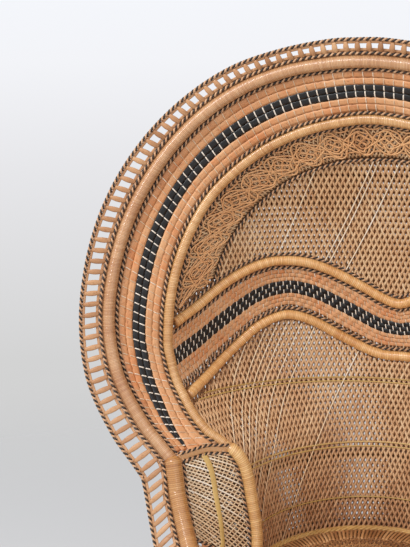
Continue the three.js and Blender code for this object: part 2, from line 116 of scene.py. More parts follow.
FRONT_RAIL_R, SEAT_RING_R, WAIST_RING_R, BASE_HOOP_R = 13.0, 9.0, 9.0, 10.5
UP, BACK = np.array([0.0, 0.0, 1.0]), np.array([0.0, 1.0, 0.0])


# ------------------------------------------------------------------ curve and surface helpers
def unit(a):
    return a / np.maximum(np.linalg.norm(a, axis=-1, keepdims=True), 1e-12)


def smooth(table, column=1):
    """Monotone cubic through a table, the same as in the CAD model."""
    x = np.array([r[0] for r in table], float)
    y = np.array([r[column] for r in table], float)
    n, h = len(x), np.diff(x)
    d = np.diff(y) / h
    m = np.zeros(n)
    m[0], m[-1] = d[0], d[-1]
    for i in range(1, n - 1):
        if d[i - 1] * d[i] > 0:
            a, b = 2 * h[i] + h[i - 1], h[i] + 2 * h[i - 1]
            m[i] = (a + b) / (a / d[i - 1] + b / d[i])

    def value(v):
        v = np.asarray(v, float)
        i = np.clip(np.searchsorted(x, v, side="left") - 1, 0, n - 2)
        t = (v - x[i]) / h[i]
        t2, t3 = t * t, t * t * t
        return (
            (2 * t3 - 3 * t2 + 1) * y[i] + (t3 - 2 * t2 + t) * h[i] * m[i]
            + (3 * t2 - 2 * t3) * y[i + 1] + (t3 - t2) * h[i] * m[i + 1]
        )

    return value


def mirrored(half):
    return [p for p in reversed(half)] + [(-x, y, z) for x, y, z in half if x != 0]


def spline(points, per=40):
    p = np.array(points, float)
    e = np.vstack([2 * p[0] - p[1], p, 2 * p[-1] - p[-2]])
    t = np.linspace(0, 1, per, endpoint=False)[:, None]
    out = []
    for i in range(len(p) - 1):
        a, b, c, d = e[i], e[i + 1], e[i + 2], e[i + 3]
        m0, m1 = (c - a) / 2, (d - b) / 2
        out.append(
            (2 * t**3 - 3 * t**2 + 1) * b + (t**3 - 2 * t**2 + t) * m0 + (3 * t**2 - 2 * t**3) * c + (t**3 - t**2) * m1
        )
    out.append(p[-1:])
    return np.vstack(out)


class Path:
    """A polyline that is read by its share of the length."""

    def __init__(self, points, closed=False):
        self.p = np.asarray(points, float)
        if closed:
            self.p = np.vstack([self.p, self.p[:1]])
        self.s = np.concatenate([[0.0], np.cumsum(np.linalg.norm(np.diff(self.p, axis=0), axis=1))])
        self.length, self.closed = float(self.s[-1]), closed

    def at(self, f):
        f = np.asarray(f, float)
        s = (f % 1.0 if self.closed else f) * self.length
        return np.stack([np.interp(s, self.s, self.p[:, i]) for i in range(3)], -1)

    def tangent(self, f, reach=2.5):
        f = np.asarray(f, float)
        e = reach / self.length
        if self.closed:
            return unit(self.at(f + e) - self.at(f - e))
        return unit(self.at(np.minimum(f + e, 1)) - self.at(np.maximum(f - e, 0)))


def rail(points, side=1):
    return Path(spline([(x * side, y, z) for x, y, z in points]))


dish_depth, dish_width, dish_section = smooth(DISH_DEPTH), smooth(DISH_HALF_WIDTH), smooth(DISH_SECTION_DEPTH)
wave_top, wave_bottom, lace_height = smooth(WAVE_TOP), smooth(WAVE_BOTTOM), smooth(LACE_RING)
lattice_side = smooth(LATTICE_SIDE)
skirt_x, skirt_y, skirt_c = smooth(SKIRT, 1), smooth(SKIRT, 2), smooth(SKIRT, 3)


def dish(phi, z):
    """A point on the dish at an angle from the centre plane (radians) and a height."""
    return np.stack(
        [dish_width(z) * np.sin(phi), dish_depth(z) - dish_section(z) * (1 - np.cos(phi)), z + 0 * phi], -1
    )


def dish_normal(phi, z):
    """The dish's normal on the sitter's side."""
    a = dish(phi + 0.01, z) - dish(phi - 0.01, z)
    b = dish(phi, z + 3.0) - dish(phi, z - 3.0)
    return unit(np.cross(a, b))


def clear_of(heights, deg, clear):
    p = np.abs(deg)
    slope = (heights(p + 0.5) - heights(np.maximum(0, p - 0.5))) / (np.where(p < 0.5, p + 0.5, 1) * 7.2)
    return heights(p) + clear * np.hypot(1, slope)


def skirt(t, z, inward=0.0):
    return np.stack(
        [(skirt_x(z) - inward) * np.cos(t), skirt_c(z) + (skirt_y(z) - inward) * np.sin(t), z + 0 * t], -1
    )


class Sheet:
    """A surface over u (along) and v (across), both 0..1, with its normal turned to one side."""

    def __init__(self, at, facing=(0, -1, 0), ring=False):
        self.at, self.ring = at, ring
        self.sign = 1.0
        n = self.normal(np.array([0.5]), np.array([0.5]))[0]
        if callable(facing):
            facing = facing(self.at(np.array([0.5]), np.array([0.5]))[0])
        if np.dot(n, facing) < 0:
            self.sign = -1.0

    def normal(self, u, v):
        e = 2e-3
        u, v = np.broadcast_arrays(np.asarray(u, float), np.asarray(v, float))
        if self.ring:
            du = self.at(u + e, v) - self.at(u - e, v)
        else:
            du = self.at(np.minimum(u + e, 1), v) - self.at(np.maximum(u - e, 0), v)
        dv = self.at(u, np.minimum(v + e, 1)) - self.at(u, np.maximum(v - e, 0))
        return self.sign * unit(np.cross(du, dv))

    def across(self, u, v):
        e = 2e-3
        u, v = np.broadcast_arrays(np.asarray(u, float), np.asarray(v, float))
        return unit(self.at(u, np.minimum(v + e, 1)) - self.at(u, np.maximum(v - e, 0)))

    def width(self, u):
        u = np.asarray(u, float)
        return np.linalg.norm(self.at(u, np.ones_like(u)) - self.at(u, np.zeros_like(u)), axis=-1)

    def line(self, v=0.5, off=0.0, lift=0.0, u0=0.0, u1=1.0, count=900):
        """The points at a share v across, moved off across and lifted along the normal, with the normals."""
        u = np.linspace(u0, u1, count)
        w = np.full_like(u, float(v)) if np.isscalar(v) else v(u)
        n = self.normal(u, w)
        return self.at(u, w) + self.across(u, w) * off + n * lift, n


def ribbon(inner, outer, clear_in, clear_out, u0=0.0, u1=1.0):
    def at(u, v):
        u, v = np.broadcast_arrays(np.asarray(u, float), np.asarray(v, float))
        s = np.clip(u0 + (u1 - u0) * u, 0, 1)
        a, b = inner.at(s), outer.at(s)
        d = b - a
        length = np.linalg.norm(d, axis=-1)
        d = unit(d)
        near = clear_in(s) if callable(clear_in) else clear_in
        c0 = near / np.maximum(0.5, np.linalg.norm(np.cross(d, inner.tangent(s)), axis=-1))
        c1 = clear_out / np.maximum(0.5, np.linalg.norm(np.cross(d, outer.tangent(s)), axis=-1))
        return a + d * (c0 + (length - c0 - c1) * v)[..., None]

    return at


# ------------------------------------------------------------------ closed strands gathered into one mesh
def flat(width, thickness, sides=8, power=2.6):
    """A flattened round section, width by thickness."""
    t = 2 * np.pi * (np.arange(sides) + 0.5) / sides
    c, s = np.cos(t), np.sin(t)
    r = (np.abs(c) ** power + np.abs(s) ** power) ** (-1 / power)
    return np.stack([c * r * width / 2, s * r * thickness / 2], -1)


class Weave:
    def __init__(self):
        self.v, self.tone, self.vertex, self.total, self.mat = [], [], [], [], []
        self.uv, self.cell = [], []
        self.count, self.steps, self.girth, self.run = 0, 0, 0.0, 0.0

    def strands(self, P, A, B, section, tone=0.5, mat=0, u=None, shift=0.0, closed=False):
        """P, A and B are (m, n, 3): m strands of n rings each. section is (k, 2) or (m, n, k, 2), in mm along A and B."""
        P = np.asarray(P, float)
        if P.ndim == 2:
            P, A, B = P[None], np.asarray(A)[None], np.asarray(B)[None]
            if u is not None:
                u = np.asarray(u)[None]
        A, B = np.broadcast_to(A, P.shape), np.broadcast_to(B, P.shape)
        m, n, _ = P.shape
        section = np.asarray(section, float)
        section = np.broadcast_to(section, (m, n) + section.shape[-2:])
        k = section.shape[2]
        ring = P[:, :, None] + A[:, :, None] * section[..., 0:1] + B[:, :, None] * section[..., 1:2]
        self.v.append(ring.reshape(-1, 3))
        tone = np.broadcast_to(np.asarray(tone, float).reshape(-1, 1, 1) if np.ndim(tone) < 2 else np.asarray(tone)[..., None], (m, n, k))
        self.tone.append(tone.reshape(-1))
        if u is None:
            u = np.concatenate([np.zeros((m, 1)), np.cumsum(np.linalg.norm(np.diff(P, axis=1), axis=2), axis=1)], 1) * 0.001
        u = np.broadcast_to(u, (m, n))
        T = P[:, 1:] - P[:, :-1]
        sign = np.sum(np.cross(A[:, :-1], B[:, :-1]) * T) > 0
        nq = n if closed else n - 1
        i, j = np.arange(nq), np.arange(k)
        M, I, J = np.meshgrid(np.arange(m), i, j, indexing="ij")
        I2, J2 = (I + 1) % n, (J + 1) % k
        base = self.count
        at = lambda a, b: base + (M * n + a) * k + b
        quad = np.stack([at(I, J), at(I, J2), at(I2, J2), at(I2, J)], -1)
        du = u[:, 1:] - u[:, :-1]
        ua = u[:, :nq][:, :, None] + 0 * J
        if closed:
            step = np.concatenate([du, du[:, -1:]], 1)
        else:
            step = du
        ub = ua + step[:, :, None]
        va, vb = J / k, (J + 1) / k
        uv = np.stack(
            [
                np.stack([ua - shift * va, va], -1), np.stack([ua - shift * vb, vb], -1),
                np.stack([ub - shift * vb, vb], -1), np.stack([ub - shift * va, va], -1),
            ],
            -2,
        )
        per = nq + (0 if closed else 1)
        s = self.steps + M * per + I
        zero, one = np.zeros_like(va), np.ones_like(va)
        cell = np.stack(
            [np.stack([s, zero, va], -1), np.stack([s, zero, vb], -1), np.stack([s, one, vb], -1), np.stack([s, one, va], -1)], -2
        )
        if not sign:
            quad, uv, cell = quad[..., ::-1], uv[..., ::-1, :], cell[..., ::-1, :]
        self.vertex.append(quad.reshape(-1))
        self.uv.append(uv.reshape(-1, 2))
        self.cell.append(cell.reshape(-1, 3))
        self.total.append(np.full(m * nq * k, 4))
        self.mat.append(np.full(m * nq * k, mat))
        if not closed:
            half = np.abs(section).max(axis=2) + 1e-9
            for end, order, cx in ((0, j[::-1], 0.25), (n - 1, j, 0.75)):
                order = order if sign else order[::-1]
                ids = base + (np.arange(m)[:, None] * n + end) * k + order[None]
                shape = section[:, end][:, order] / half[:, end][:, None]
                cs = self.steps + np.arange(m)[:, None] * per + nq + 0 * order[None]
                self.vertex.append(ids.reshape(-1))
                self.uv.append(np.stack([u[:, end][:, None] + shape[..., 0] * 0.002, 0.5 + shape[..., 1] * 0.05], -1).reshape(-1, 2))
                self.cell.append(np.stack([cs, cx + 0.22 * shape[..., 0], 0.5 + 0.45 * shape[..., 1]], -1).reshape(-1, 3))
                self.total.append(np.full(m, k))
                self.mat.append(np.full(m, mat))
        self.count += m * n * k
        self.steps += m * per
        around = np.linalg.norm(np.roll(section[0, 0], 1, 0) - section[0, 0], axis=1).sum()
        self.girth += around * m * per
        self.run += np.linalg.norm(T, axis=2).sum()

    def build(self, name, materials, nodes=()):
        v = (np.concatenate(self.v) + SHIFT) * 0.001
        vertex, total = np.concatenate(self.vertex), np.concatenate(self.total)
        uv, cell = np.concatenate(self.uv), np.concatenate(self.cell)
        start = np.concatenate([[0], np.cumsum(total)[:-1]])
        me = bpy.data.meshes.new(name)
        me.vertices.add(len(v))
        me.vertices.foreach_set("co", v.astype(np.float32).ravel())
        me.loops.add(len(vertex))
        me.loops.foreach_set("vertex_index", vertex.astype(np.int32))
        me.polygons.add(len(total))
        me.polygons.foreach_set("loop_start", start.astype(np.int32))
        for m in materials:
            me.materials.append(m)
        me.polygons.foreach_set("material_index", np.concatenate(self.mat).astype(np.int32))
        me.update(calc_edges=True)
        me.shade_smooth()
        layer = me.uv_layers.new(name="strand")
        layer.data.foreach_set("uv", uv.astype(np.float32).ravel())
        length, around = self.run / self.steps, self.girth / self.steps
        rows = max(1, int(round(math.sqrt(self.steps * length / around))))
        per = int(math.ceil(self.steps / rows))
        rows = int(math.ceil(self.steps / per))
        row, column = np.floor_divide(cell[:, 0], per), np.mod(cell[:, 0], per)
        bake = np.stack([(column + 0.002 + 0.996 * cell[:, 1]) / per, (row + 0.03 + 0.94 * cell[:, 2]) / rows], -1)
        layer = me.uv_layers.new(name="OFBake")
        layer.data.foreach_set("uv", bake.astype(np.float32).ravel())
        tone = me.attributes.new("tone", "FLOAT", "POINT")
        tone.data.foreach_set("value", np.concatenate(self.tone).astype(np.float32))
        ob = bpy.data.objects.new(name, me)
        bpy.context.scene.collection.objects.link(ob)
        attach(ob, "root")
        if nodes:
            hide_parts(*nodes)
        return ob


def frames(P, normal):
    """Axes along a strand: A across it, B the normal made square to it."""
    T = np.gradient(P, axis=-2)
    T = unit(T)
    B = unit(normal - np.sum(normal * T, -1, keepdims=True) * T)
    return np.cross(B, T), B


# ------------------------------------------------------------------ materials
def material(name):
    m = bpy.data.materials.new(name)
    m.use_nodes = True
    m.node_tree.nodes.clear()
    return m, m.node_tree.nodes, m.node_tree.links


def srgb(r, g, b):
    lin = [(c / 255 / 12.92) if c / 255 <= 0.04045 else ((c / 255 + 0.055) / 1.055) ** 2.4 for c in (r, g, b)]
    return (*lin, 1.0)


def cane(name, ramp, rough=(0.36, 0.55), coat=0.0, wraps=False, fibre=1.0, tone_share=0.55, fleck=0.5, bump=0.25, crest_highlight=0.0, blush=0.0):
    """Rattan peel or pole: tone by strand, long fibres, slow patches, brown flecks. wraps gives one tone to each turn
    of a binding, with painted shade in the grooves at its edges; a painted highlight can run along a strand's crest;
    blush gives warm patches.
    """
    m, nodes, links = material(name)

    def math_node(op, a, b=None, c=None):
        n = nodes.new("ShaderNodeMath")
        n.operation = op
        for i, x in enumerate((a, b, c)):
            if x is None:
                continue
            if isinstance(x, (int, float)):
                n.inputs[i].default_value = x
            else:
                links.new(x, n.inputs[i])
        return n.outputs[0]

    uv = nodes.new("ShaderNodeUVMap")
    uv.uv_map = "strand"
    sep = nodes.new("ShaderNodeSeparateXYZ")
    links.new(uv.outputs[0], sep.inputs[0])
    along, around = sep.outputs[0], sep.outputs[1]
    attr = nodes.new("ShaderNodeAttribute")
    attr.attribute_type, attr.attribute_name = "GEOMETRY", "tone"
    tone = attr.outputs["Fac"]
    coord = nodes.new("ShaderNodeTexCoord")
    patch = nodes.new("ShaderNodeTexNoise")
    patch.inputs["Scale"].default_value = 11.0
    patch.inputs["Detail"].default_value = 2.0
    links.new(coord.outputs["Object"], patch.inputs["Vector"])
    fine = nodes.new("ShaderNodeTexNoise")
    fine.inputs["Scale"].default_value = 1.0
    fine.inputs["Detail"].default_value = 3.0
    fine.inputs["Roughness"].default_value = 0.65
    mix = nodes.new("ShaderNodeCombineXYZ")
    if wraps:
        turn = math_node("FLOOR", along)
        inside = math_node("FRACT", along)
        white = nodes.new("ShaderNodeTexWhiteNoise")
        white.noise_dimensions = "1D"
        links.new(turn, white.inputs["W"])
        tone = white.outputs["Value"]
        links.new(math_node("MULTIPLY", around, 9.0), mix.inputs[0])
        links.new(math_node("MULTIPLY", inside, 6.0 * fibre), mix.inputs[1])
        links.new(math_node("MULTIPLY", turn, 3.7), mix.inputs[2])
        # Painted shade: each turn darkens towards its two edges, in the grooves between turns.
        edge = math_node("POWER", math_node("ABSOLUTE", math_node("SUBTRACT", math_node("MULTIPLY", inside, 2.0), 1.0)), 3.0)
    else:
        links.new(math_node("MULTIPLY", along, 45.0), mix.inputs[0])
        links.new(math_node("MULTIPLY", around, 26.0 * fibre), mix.inputs[1])
        links.new(math_node("MULTIPLY", tone, 61.0), mix.inputs[2])
        edge = None
    links.new(mix.outputs[0], fine.inputs["Vector"])
    share = math_node("MULTIPLY", tone, tone_share)
    share = math_node("ADD", share, math_node("MULTIPLY", patch.outputs["Fac"], 0.5 * (1 - tone_share) + 0.25))
    share = math_node("ADD", share, math_node("MULTIPLY", fine.outputs["Fac"], 0.35))
    share = math_node("SUBTRACT", share, 0.29)
    if crest_highlight:
        # Painted highlight: a paler line along the crest. On a six-sided strand the crest that faces the sitter lies a
        # sixth of the way round.
        away = math_node("MULTIPLY", math_node("ABSOLUTE", math_node("SUBTRACT", around, 1 / 6)), 6.0)
        crest = math_node("MAXIMUM", math_node("SUBTRACT", 1.0, away), 0.0)
        share = math_node("ADD", share, math_node("MULTIPLY", math_node("SUBTRACT", crest, 0.45), crest_highlight))
    cr = nodes.new("ShaderNodeValToRGB")
    while len(cr.color_ramp.elements) > 1:
        cr.color_ramp.elements.remove(cr.color_ramp.elements[0])
    for i, (pos, col) in enumerate(ramp):
        el = cr.color_ramp.elements[0] if i == 0 else cr.color_ramp.elements.new(pos)
        el.position, el.color = pos, srgb(*col)
    links.new(share, cr.inputs[0])
    colour = cr.outputs[0]

    def darken(colour, amount, shade):
        mx = nodes.new("ShaderNodeMix")
        mx.data_type, mx.blend_type = "RGBA", "MULTIPLY"
        links.new(amount, mx.inputs["Factor"])
        links.new(colour, mx.inputs["A"])
        mx.inputs["B"].default_value = shade
        return mx.outputs["Result"]

    if fleck > 0:
        spots = nodes.new("ShaderNodeTexNoise")
        spots.inputs["Scale"].default_value = 160.0
        spots.inputs["Detail"].default_value = 1.0
        links.new(coord.outputs["Object"], spots.inputs["Vector"])
        over = math_node("MULTIPLY", math_node("MAXIMUM", math_node("SUBTRACT", spots.outputs["Fac"], 0.60), 0.0), 5.0 * fleck)
        colour = darken(colour, math_node("MINIMUM", over, 0.7), (0.45, 0.27, 0.14, 1))
    if blush:
        warm = nodes.new("ShaderNodeTexNoise")
        warm.inputs["Scale"].default_value = 28.0
        warm.inputs["Detail"].default_value = 1.5
        links.new(coord.outputs["Object"], warm.inputs["Vector"])
        over = math_node("MULTIPLY", math_node("MAXIMUM", math_node("SUBTRACT", warm.outputs["Fac"], 0.5), 0.0), 5.0 * blush)
        colour = darken(colour, math_node("MINIMUM", over, blush), (1.0, 0.68, 0.46, 1))
    # Painted groove shade at the edges of each turn of a binding.
    if edge is not None:
        colour = darken(colour, math_node("MULTIPLY", edge, 0.62), (0.42, 0.24, 0.12, 1))
    bsdf = nodes.new("ShaderNodeBsdfPrincipled")
    links.new(colour, bsdf.inputs["Base Color"])
    rr = nodes.new("ShaderNodeMapRange")
    rr.inputs["To Min"].default_value, rr.inputs["To Max"].default_value = rough
    links.new(fine.outputs["Fac"], rr.inputs["Value"])
    links.new(rr.outputs[0], bsdf.inputs["Roughness"])
    if coat:
        bsdf.inputs["Coat Weight"].default_value = coat
        bsdf.inputs["Coat Roughness"].default_value = 0.15
    if bump:
        bp = nodes.new("ShaderNodeBump")
        bp.inputs["Strength"].default_value = bump
        bp.inputs["Distance"].default_value = 0.0004
        links.new(fine.outputs["Fac"], bp.inputs["Height"])
        links.new(bp.outputs[0], bsdf.inputs["Normal"])
    out = nodes.new("ShaderNodeOutputMaterial")
    links.new(bsdf.outputs[0], out.inputs[0])
    return m


POLE_RAMP = [(0.0, (166, 110, 70)), (0.35, (197, 149, 105)), (0.65, (213, 173, 131)), (1.0, (228, 203, 170))]
INNER_RAMP = [(0.0, (180, 122, 67)), (0.35, (217, 168, 111)), (0.65, (233, 194, 142)), (1.0, (246, 222, 180))]
ARM_RAMP = [(0.0, (160, 101, 50)), (0.35, (193, 139, 82)), (0.65, (210, 161, 105)), (1.0, (224, 190, 141))]
# Painted light: the inner arm posts are coloured lighter than the outer ones to make up for the shade they sit in.
ARM_INNER_LIT_RAMP = [(0.0, (192, 134, 74)), (0.35, (233, 186, 122)), (0.65, (246, 212, 152)), (1.0, (252, 236, 194))]
# Painted shade: a darkened strand colour for layers behind the weave that stand in for its shadowed inside.
SHADE_UNDER_RAMP = [(0.0, (72, 46, 28)), (0.5, (112, 74, 46)), (1.0, (150, 104, 68))]
SEAT_RAMP = [(0.0, (112, 68, 36)), (0.35, (174, 120, 72)), (0.7, (208, 156, 102)), (1.0, (232, 192, 142))]
ROPE_RAMP = [(0.0, (152, 106, 52)), (0.4, (206, 162, 96)), (0.7, (224, 188, 124)), (1.0, (240, 214, 160))]
# Painted shade: the ribs are coloured dark brown for their shadowed look behind the lattice.
SHADED_RIB_RAMP = [(0.0, (74, 38, 18)), (0.5, (112, 62, 30)), (1.0, (150, 92, 50))]
BRIDGE_RAMP = [(0.0, (192, 138, 90)), (0.5, (224, 176, 126)), (1.0, (240, 206, 162))]
PEEL_RAMP = [(0.0, (166, 98, 56)), (0.35, (211, 149, 100)), (0.65, (226, 173, 125)), (1.0, (238, 199, 153))]
LOOP_RAMP = [(0.0, (140, 92, 56)), (0.35, (180, 130, 88)), (0.65, (202, 156, 112)), (1.0, (222, 186, 144))]
STRAND_RAMP = [(0.0, (138, 90, 56)), (0.3, (190, 141, 98)), (0.6, (219, 178, 133)), (0.85, (238, 211, 172)), (1.0, (249, 242, 228))]
LACE_RAMP = [(0.0, (160, 100, 56)), (0.4, (217, 157, 104)), (0.75, (234, 182, 128)), (1.0, (244, 206, 156))]
PALE_RAMP = [(0.0, (196, 156, 116)), (0.5, (228, 200, 166)), (1.0, (252, 244, 230))]
BLACK_RAMP = [(0.0, (12, 12, 13)), (0.5, (27, 26, 26)), (1.0, (60, 58, 57))]
CANE_RAMP = [(0.0, (128, 76, 34)), (0.5, (180, 118, 58)), (1.0, (210, 158, 96))]
FLAT_RAMP = [(0.0, (176, 138, 72)), (0.5, (210, 174, 104)), (1.0, (230, 200, 142))]
# Painted light: the wave's poles are coloured lighter than the other bound poles to make up for the hood's shadow over
# them.
WAVE_LIT_RAMP = [(0.0, (200, 132, 68)), (0.35, (238, 184, 118)), (0.65, (249, 209, 152)), (1.0, (254, 232, 188))]
bound_mat = cane("bound_rattan", POLE_RAMP, rough=(0.26, 0.42), coat=0.5, wraps=True, tone_share=0.22, fleck=0.25)
inner_mat = cane("bound_inner_rattan", INNER_RAMP, rough=(0.26, 0.42), coat=0.5, wraps=True, tone_share=0.22, fleck=0.25)
arm_mat = cane("bound_arm_rattan", ARM_RAMP, rough=(0.26, 0.42), coat=0.5, wraps=True, tone_share=0.26, fleck=0.2)
# Painted light: a lightened copy of the arm-post colour for the inner posts.
arm_inner_lit_mat = cane("bound_arm_inner_rattan_painted_light", ARM_INNER_LIT_RAMP, rough=(0.26, 0.42), coat=0.5, wraps=True, tone_share=0.26, fleck=0.2)
# Painted light: a lightened copy of the bound-pole colour for the wave's poles.
wave_lit_mat = cane("bound_wave_rattan_painted_light", WAVE_LIT_RAMP, rough=(0.26, 0.42), coat=0.5, wraps=True, tone_share=0.26, fleck=0.25)
# Painted shade: the dark material of the layers behind the weave.
shade_under_mat = cane("under_strand_painted_shade", SHADE_UNDER_RAMP, rough=(0.5, 0.7), fleck=0.4)
seat_mat = cane("seat_peel", SEAT_RAMP, rough=(0.4, 0.6), fleck=0.6)
rope_mat = cane("rope_peel", ROPE_RAMP, fleck=0.4)
# Painted shade: the ribs' dark material.
shaded_rib_mat = cane("rib_pole_painted_shade", SHADED_RIB_RAMP, rough=(0.4, 0.6), fleck=0.5)
bridge_mat = cane("bridge_peel", BRIDGE_RAMP, fleck=0.3)
loop_mat = cane("loop_peel", LOOP_RAMP, fleck=0.5)
flat_mat = cane("flat_peel", FLAT_RAMP, fleck=0.3)
peel_mat = cane("woven_peel", PEEL_RAMP, fleck=0.6, blush=0.5)
black_mat = cane("black_peel", BLACK_RAMP, rough=(0.3, 0.5), fleck=0.0)
pale_mat = cane("pale_stake", PALE_RAMP, fleck=0.3)
# The lattice and lace strands carry a painted highlight along their crest.
strand_mat = cane("lattice_strand", STRAND_RAMP, rough=(0.4, 0.6), fleck=0.45, tone_share=0.7, crest_highlight=0.24)
lace_mat = cane("lace_strand", LACE_RAMP, fleck=0.4, crest_highlight=0.2)
pole_mat = cane("cane_pole", CANE_RAMP, rough=(0.35, 0.55), fleck=0.6)
braid_nat = cane("braid_natural", [(0.0, (164, 112, 74)), (0.5, (204, 160, 120)), (1.0, (232, 206, 174))], fleck=0.2)
braid_blk = cane("braid_black", [(0.0, (20, 14, 11)), (0.5, (46, 34, 27)), (1.0, (84, 64, 50))], rough=(0.35, 0.55), fleck=0.0)


# ------------------------------------------------------------------ members
def bound_tube(w, P, radius, pitch=2.9, back=BACK, closed=False, sides=14, depth=0.6, dome=False, thin_end=0.0):
    """A pole wound with flat peel: one shallow ridge for each turn, running round as a helix. thin_end is taken off the radius over the last sixth."""
    path = P if isinstance(P, Path) else Path(P, closed)
    turns = max(2, int(round(path.length / pitch)))
    n = turns * 4 + (0 if closed else 1)
    f = np.arange(n) / (turns * 4.0)
    C, T = path.at(f), path.tangent(f)
    B = unit(back - np.sum(back * T, -1, keepdims=True) * T)
    A = np.cross(B, T)
    k = np.arange(sides)
    turn = np.arange(n)[:, None] / 4.0 - k[None] / sides
    frac = turn - np.floor(turn)
    ridge = rng.normal(0, 0.1, turns + 3)
    r = radius - thin_end * np.clip(f * 6 - 5, 0, 1)[:, None] - 0.12 - depth * np.abs(2 * frac - 1) ** 3 + np.clip(ridge[np.floor(turn).astype(int) % len(ridge)], -0.2, 0.12)
    if dome:
        s = np.minimum(f * path.length / (radius * 0.8), 1.0)
        r = r * np.sqrt(np.maximum(0.02, 1 - (1 - s) ** 2))[:, None]
    a = np.pi / 2 + 2 * np.pi * k / sides
    sec = np.stack([r * np.cos(a), r * np.sin(a)], -1)
    w.strands(C[None], A[None], B[None], sec[None], 0.5, u=(np.arange(n) / 4.0)[None], shift=1.0, closed=closed)


def braid(w, P, N, pitch=12.0, helix=1.7, radius=1.95, mats=(0, 1), hand=-1, closed=False, phase=0.0, sides=6, per=8):
    """Two strands twisted round each other along P, one dark and one natural; N points to the viewer."""
    path = Path(P, closed)
    turns = max(1, int(round(path.length / pitch)))
    n = turns * per + (0 if closed else 1)
    f = np.arange(n) / (turns * float(per))
    C, T = path.at(f), path.tangent(f)
    src = np.linspace(0, 1, len(N))
    s_of = path.s[: len(N)] / path.length
    B = np.stack([np.interp(f, s_of, N[:, i]) for i in range(3)], -1)
    B = unit(B - np.sum(B * T, -1, keepdims=True) * T)
    A = np.cross(B, T)
    for j, mat in enumerate(mats):
        th = hand * 2 * np.pi * turns * f + np.pi * j + phase
        out = A * np.cos(th)[:, None] + B * np.sin(th)[:, None]
        S = C + out * helix
        if closed:
            tan = unit(np.roll(S, -1, 0) - np.roll(S, 1, 0))
        else:
            tan = unit(np.gradient(S, axis=0))
        X = unit(out - np.sum(out * tan, -1, keepdims=True) * tan)
        Y = np.cross(tan, X)
        tone = np.clip(rng.normal(0.5, 0.22, (1, n)), 0, 1)
        kern = np.ones(5) / 5
        tone = np.convolve(np.pad(tone[0], 2, mode="edge"), kern, "valid")[None]
        w.strands(S[None], X[None], Y[None], flat(2 * radius, 2 * radius, sides, 2.0), tone=tone, mat=mat, closed=closed)


def cane_pole(w, P, radius, back=BACK, sides=10, tone=0.5, node_every=130.0):
    """A smooth pole with a faint swelling at its nodes and slightly drawn-in ends."""
    path = P if isinstance(P, Path) else Path(P)
    n = max(12, int(path.length / 6.0))
    f = np.linspace(0, 1, n)
    C, T = path.at(f), path.tangent(f)
    B = unit(back - np.sum(back * T, -1, keepdims=True) * T)
    A = np.cross(B, T)
    s = f * path.length + rng.uniform(0, node_every)
    near = np.abs((s % node_every) - node_every / 2)
    r = radius * (0.945 + 0.055 * np.exp(-((near / 5.0) ** 2)) - 0.02 * np.exp(-(((near - 9) / 4.0) ** 2)))
    r = r * (1 - 0.25 * np.exp(-np.minimum(f, 1 - f) * path.length / 1.5))
    a = 2 * np.pi * np.arange(sides) / sides
    sec = np.stack([r[:, None] * np.cos(a), r[:, None] * np.sin(a)], -1)
    w.strands(C[None], A[None], B[None], sec[None], tone)


def woven(w, sheet, rows, stakes, amp=1.4, thick=1.5, stake_w=2.6, stake_t=1.3, u0=0.0, u1=1.0, per=6, fill=0.93, stake_mat=2, white=0.12, v0=None, v1=None, slant=0.0):
    """Rows of flat strips over and under thin cross stakes. rows holds (low edge, high edge, material, tone, u0, u1), its edges functions of u or shares. slant leans the stakes, in stakes for each row."""
    middle = (len(rows) - 1) / 2
    lo = rows[0][0] if v0 is None else v0
    hi = rows[-1][1] if v1 is None else v1
    for j, (a, b, mat, tone, ra, rb) in enumerate(rows):
        ra, rb = max(u0, ra), min(u1, rb)
        n = max(4, int(stakes * per * (rb - ra)) + 1)
        u = np.linspace(ra, rb, n)
        va = a(u) if callable(a) else np.full(n, a)
        vb = b(u) if callable(b) else np.full(n, b)
        v = (va + vb) / 2
        N = sheet.normal(u, v)
        wave = amp * np.cos(np.pi * (u * stakes - slant * (j - middle) + j))
        P = sheet.at(u, v) + N * wave[:, None]
        A, B = frames(P, N)
        half = np.linalg.norm(sheet.at(u, vb) - sheet.at(u, va), axis=-1) / 2 * fill
        sec = flat(2.0, 1.0, 8, 3.2)[None] * np.stack([half, np.full(n, thick)], -1)[:, None, :]
        pieces = np.clip(tone + rng.normal(0, 0.05) + 0.10 * np.sin(u * 23 + j * 2.1) + 0.06 * np.sin(u * 61 + j), 0, 1)
        w.strands(P[None], A[None], B[None], sec[None], tone=pieces[None], mat=mat)
    count = int(round(stakes))
    ids = np.arange(1, count)
    ids = ids[(ids / stakes > u0) & (ids / stakes < u1)] if not sheet.ring else np.arange(count)
    n = len(rows) * 4 + 1
    q = np.linspace(0, 1, n)
    U = np.repeat((ids / stakes)[:, None], n, 1)
    low = lo(U[:, 0]) if callable(lo) else np.full(len(ids), lo)
    high = hi(U[:, 0]) if callable(hi) else np.full(len(ids), hi)
    V = low[:, None] + (high - low)[:, None] * q[None]
    # Which row a point of the stake is at, as a running number.
    centre = np.array([[(r[0](x) if callable(r[0]) else r[0]) / 2 + (r[1](x) if callable(r[1]) else r[1]) / 2 for r in rows] for x in U[:, 0]], float)
    index = np.array([np.interp(V[i], centre[i], np.arange(len(rows)), left=-0.5, right=len(rows) - 0.5) for i in range(len(ids))])
    U = np.clip(U + slant * (index - middle) / stakes, 0.0005, 0.9995)
    N = sheet.normal(U, V)
    P = sheet.at(U, V) - N * (amp * np.cos(np.pi * (ids[:, None] + index)))[..., None]
    A, B = frames(P, N)
    tone = np.clip(rng.normal(0.4, 0.16, len(ids)), 0, 1)
    tone[rng.random(len(ids)) < white] = 1.0
    dark = np.array([r[2] == 1 for r in rows])[np.clip(np.round(index).astype(int), 0, len(rows) - 1)]
    tone = np.where(dark, 1.3, tone[:, None])
    w.strands(P, A, B, flat(stake_w, stake_t, 6), tone=tone, mat=stake_mat)


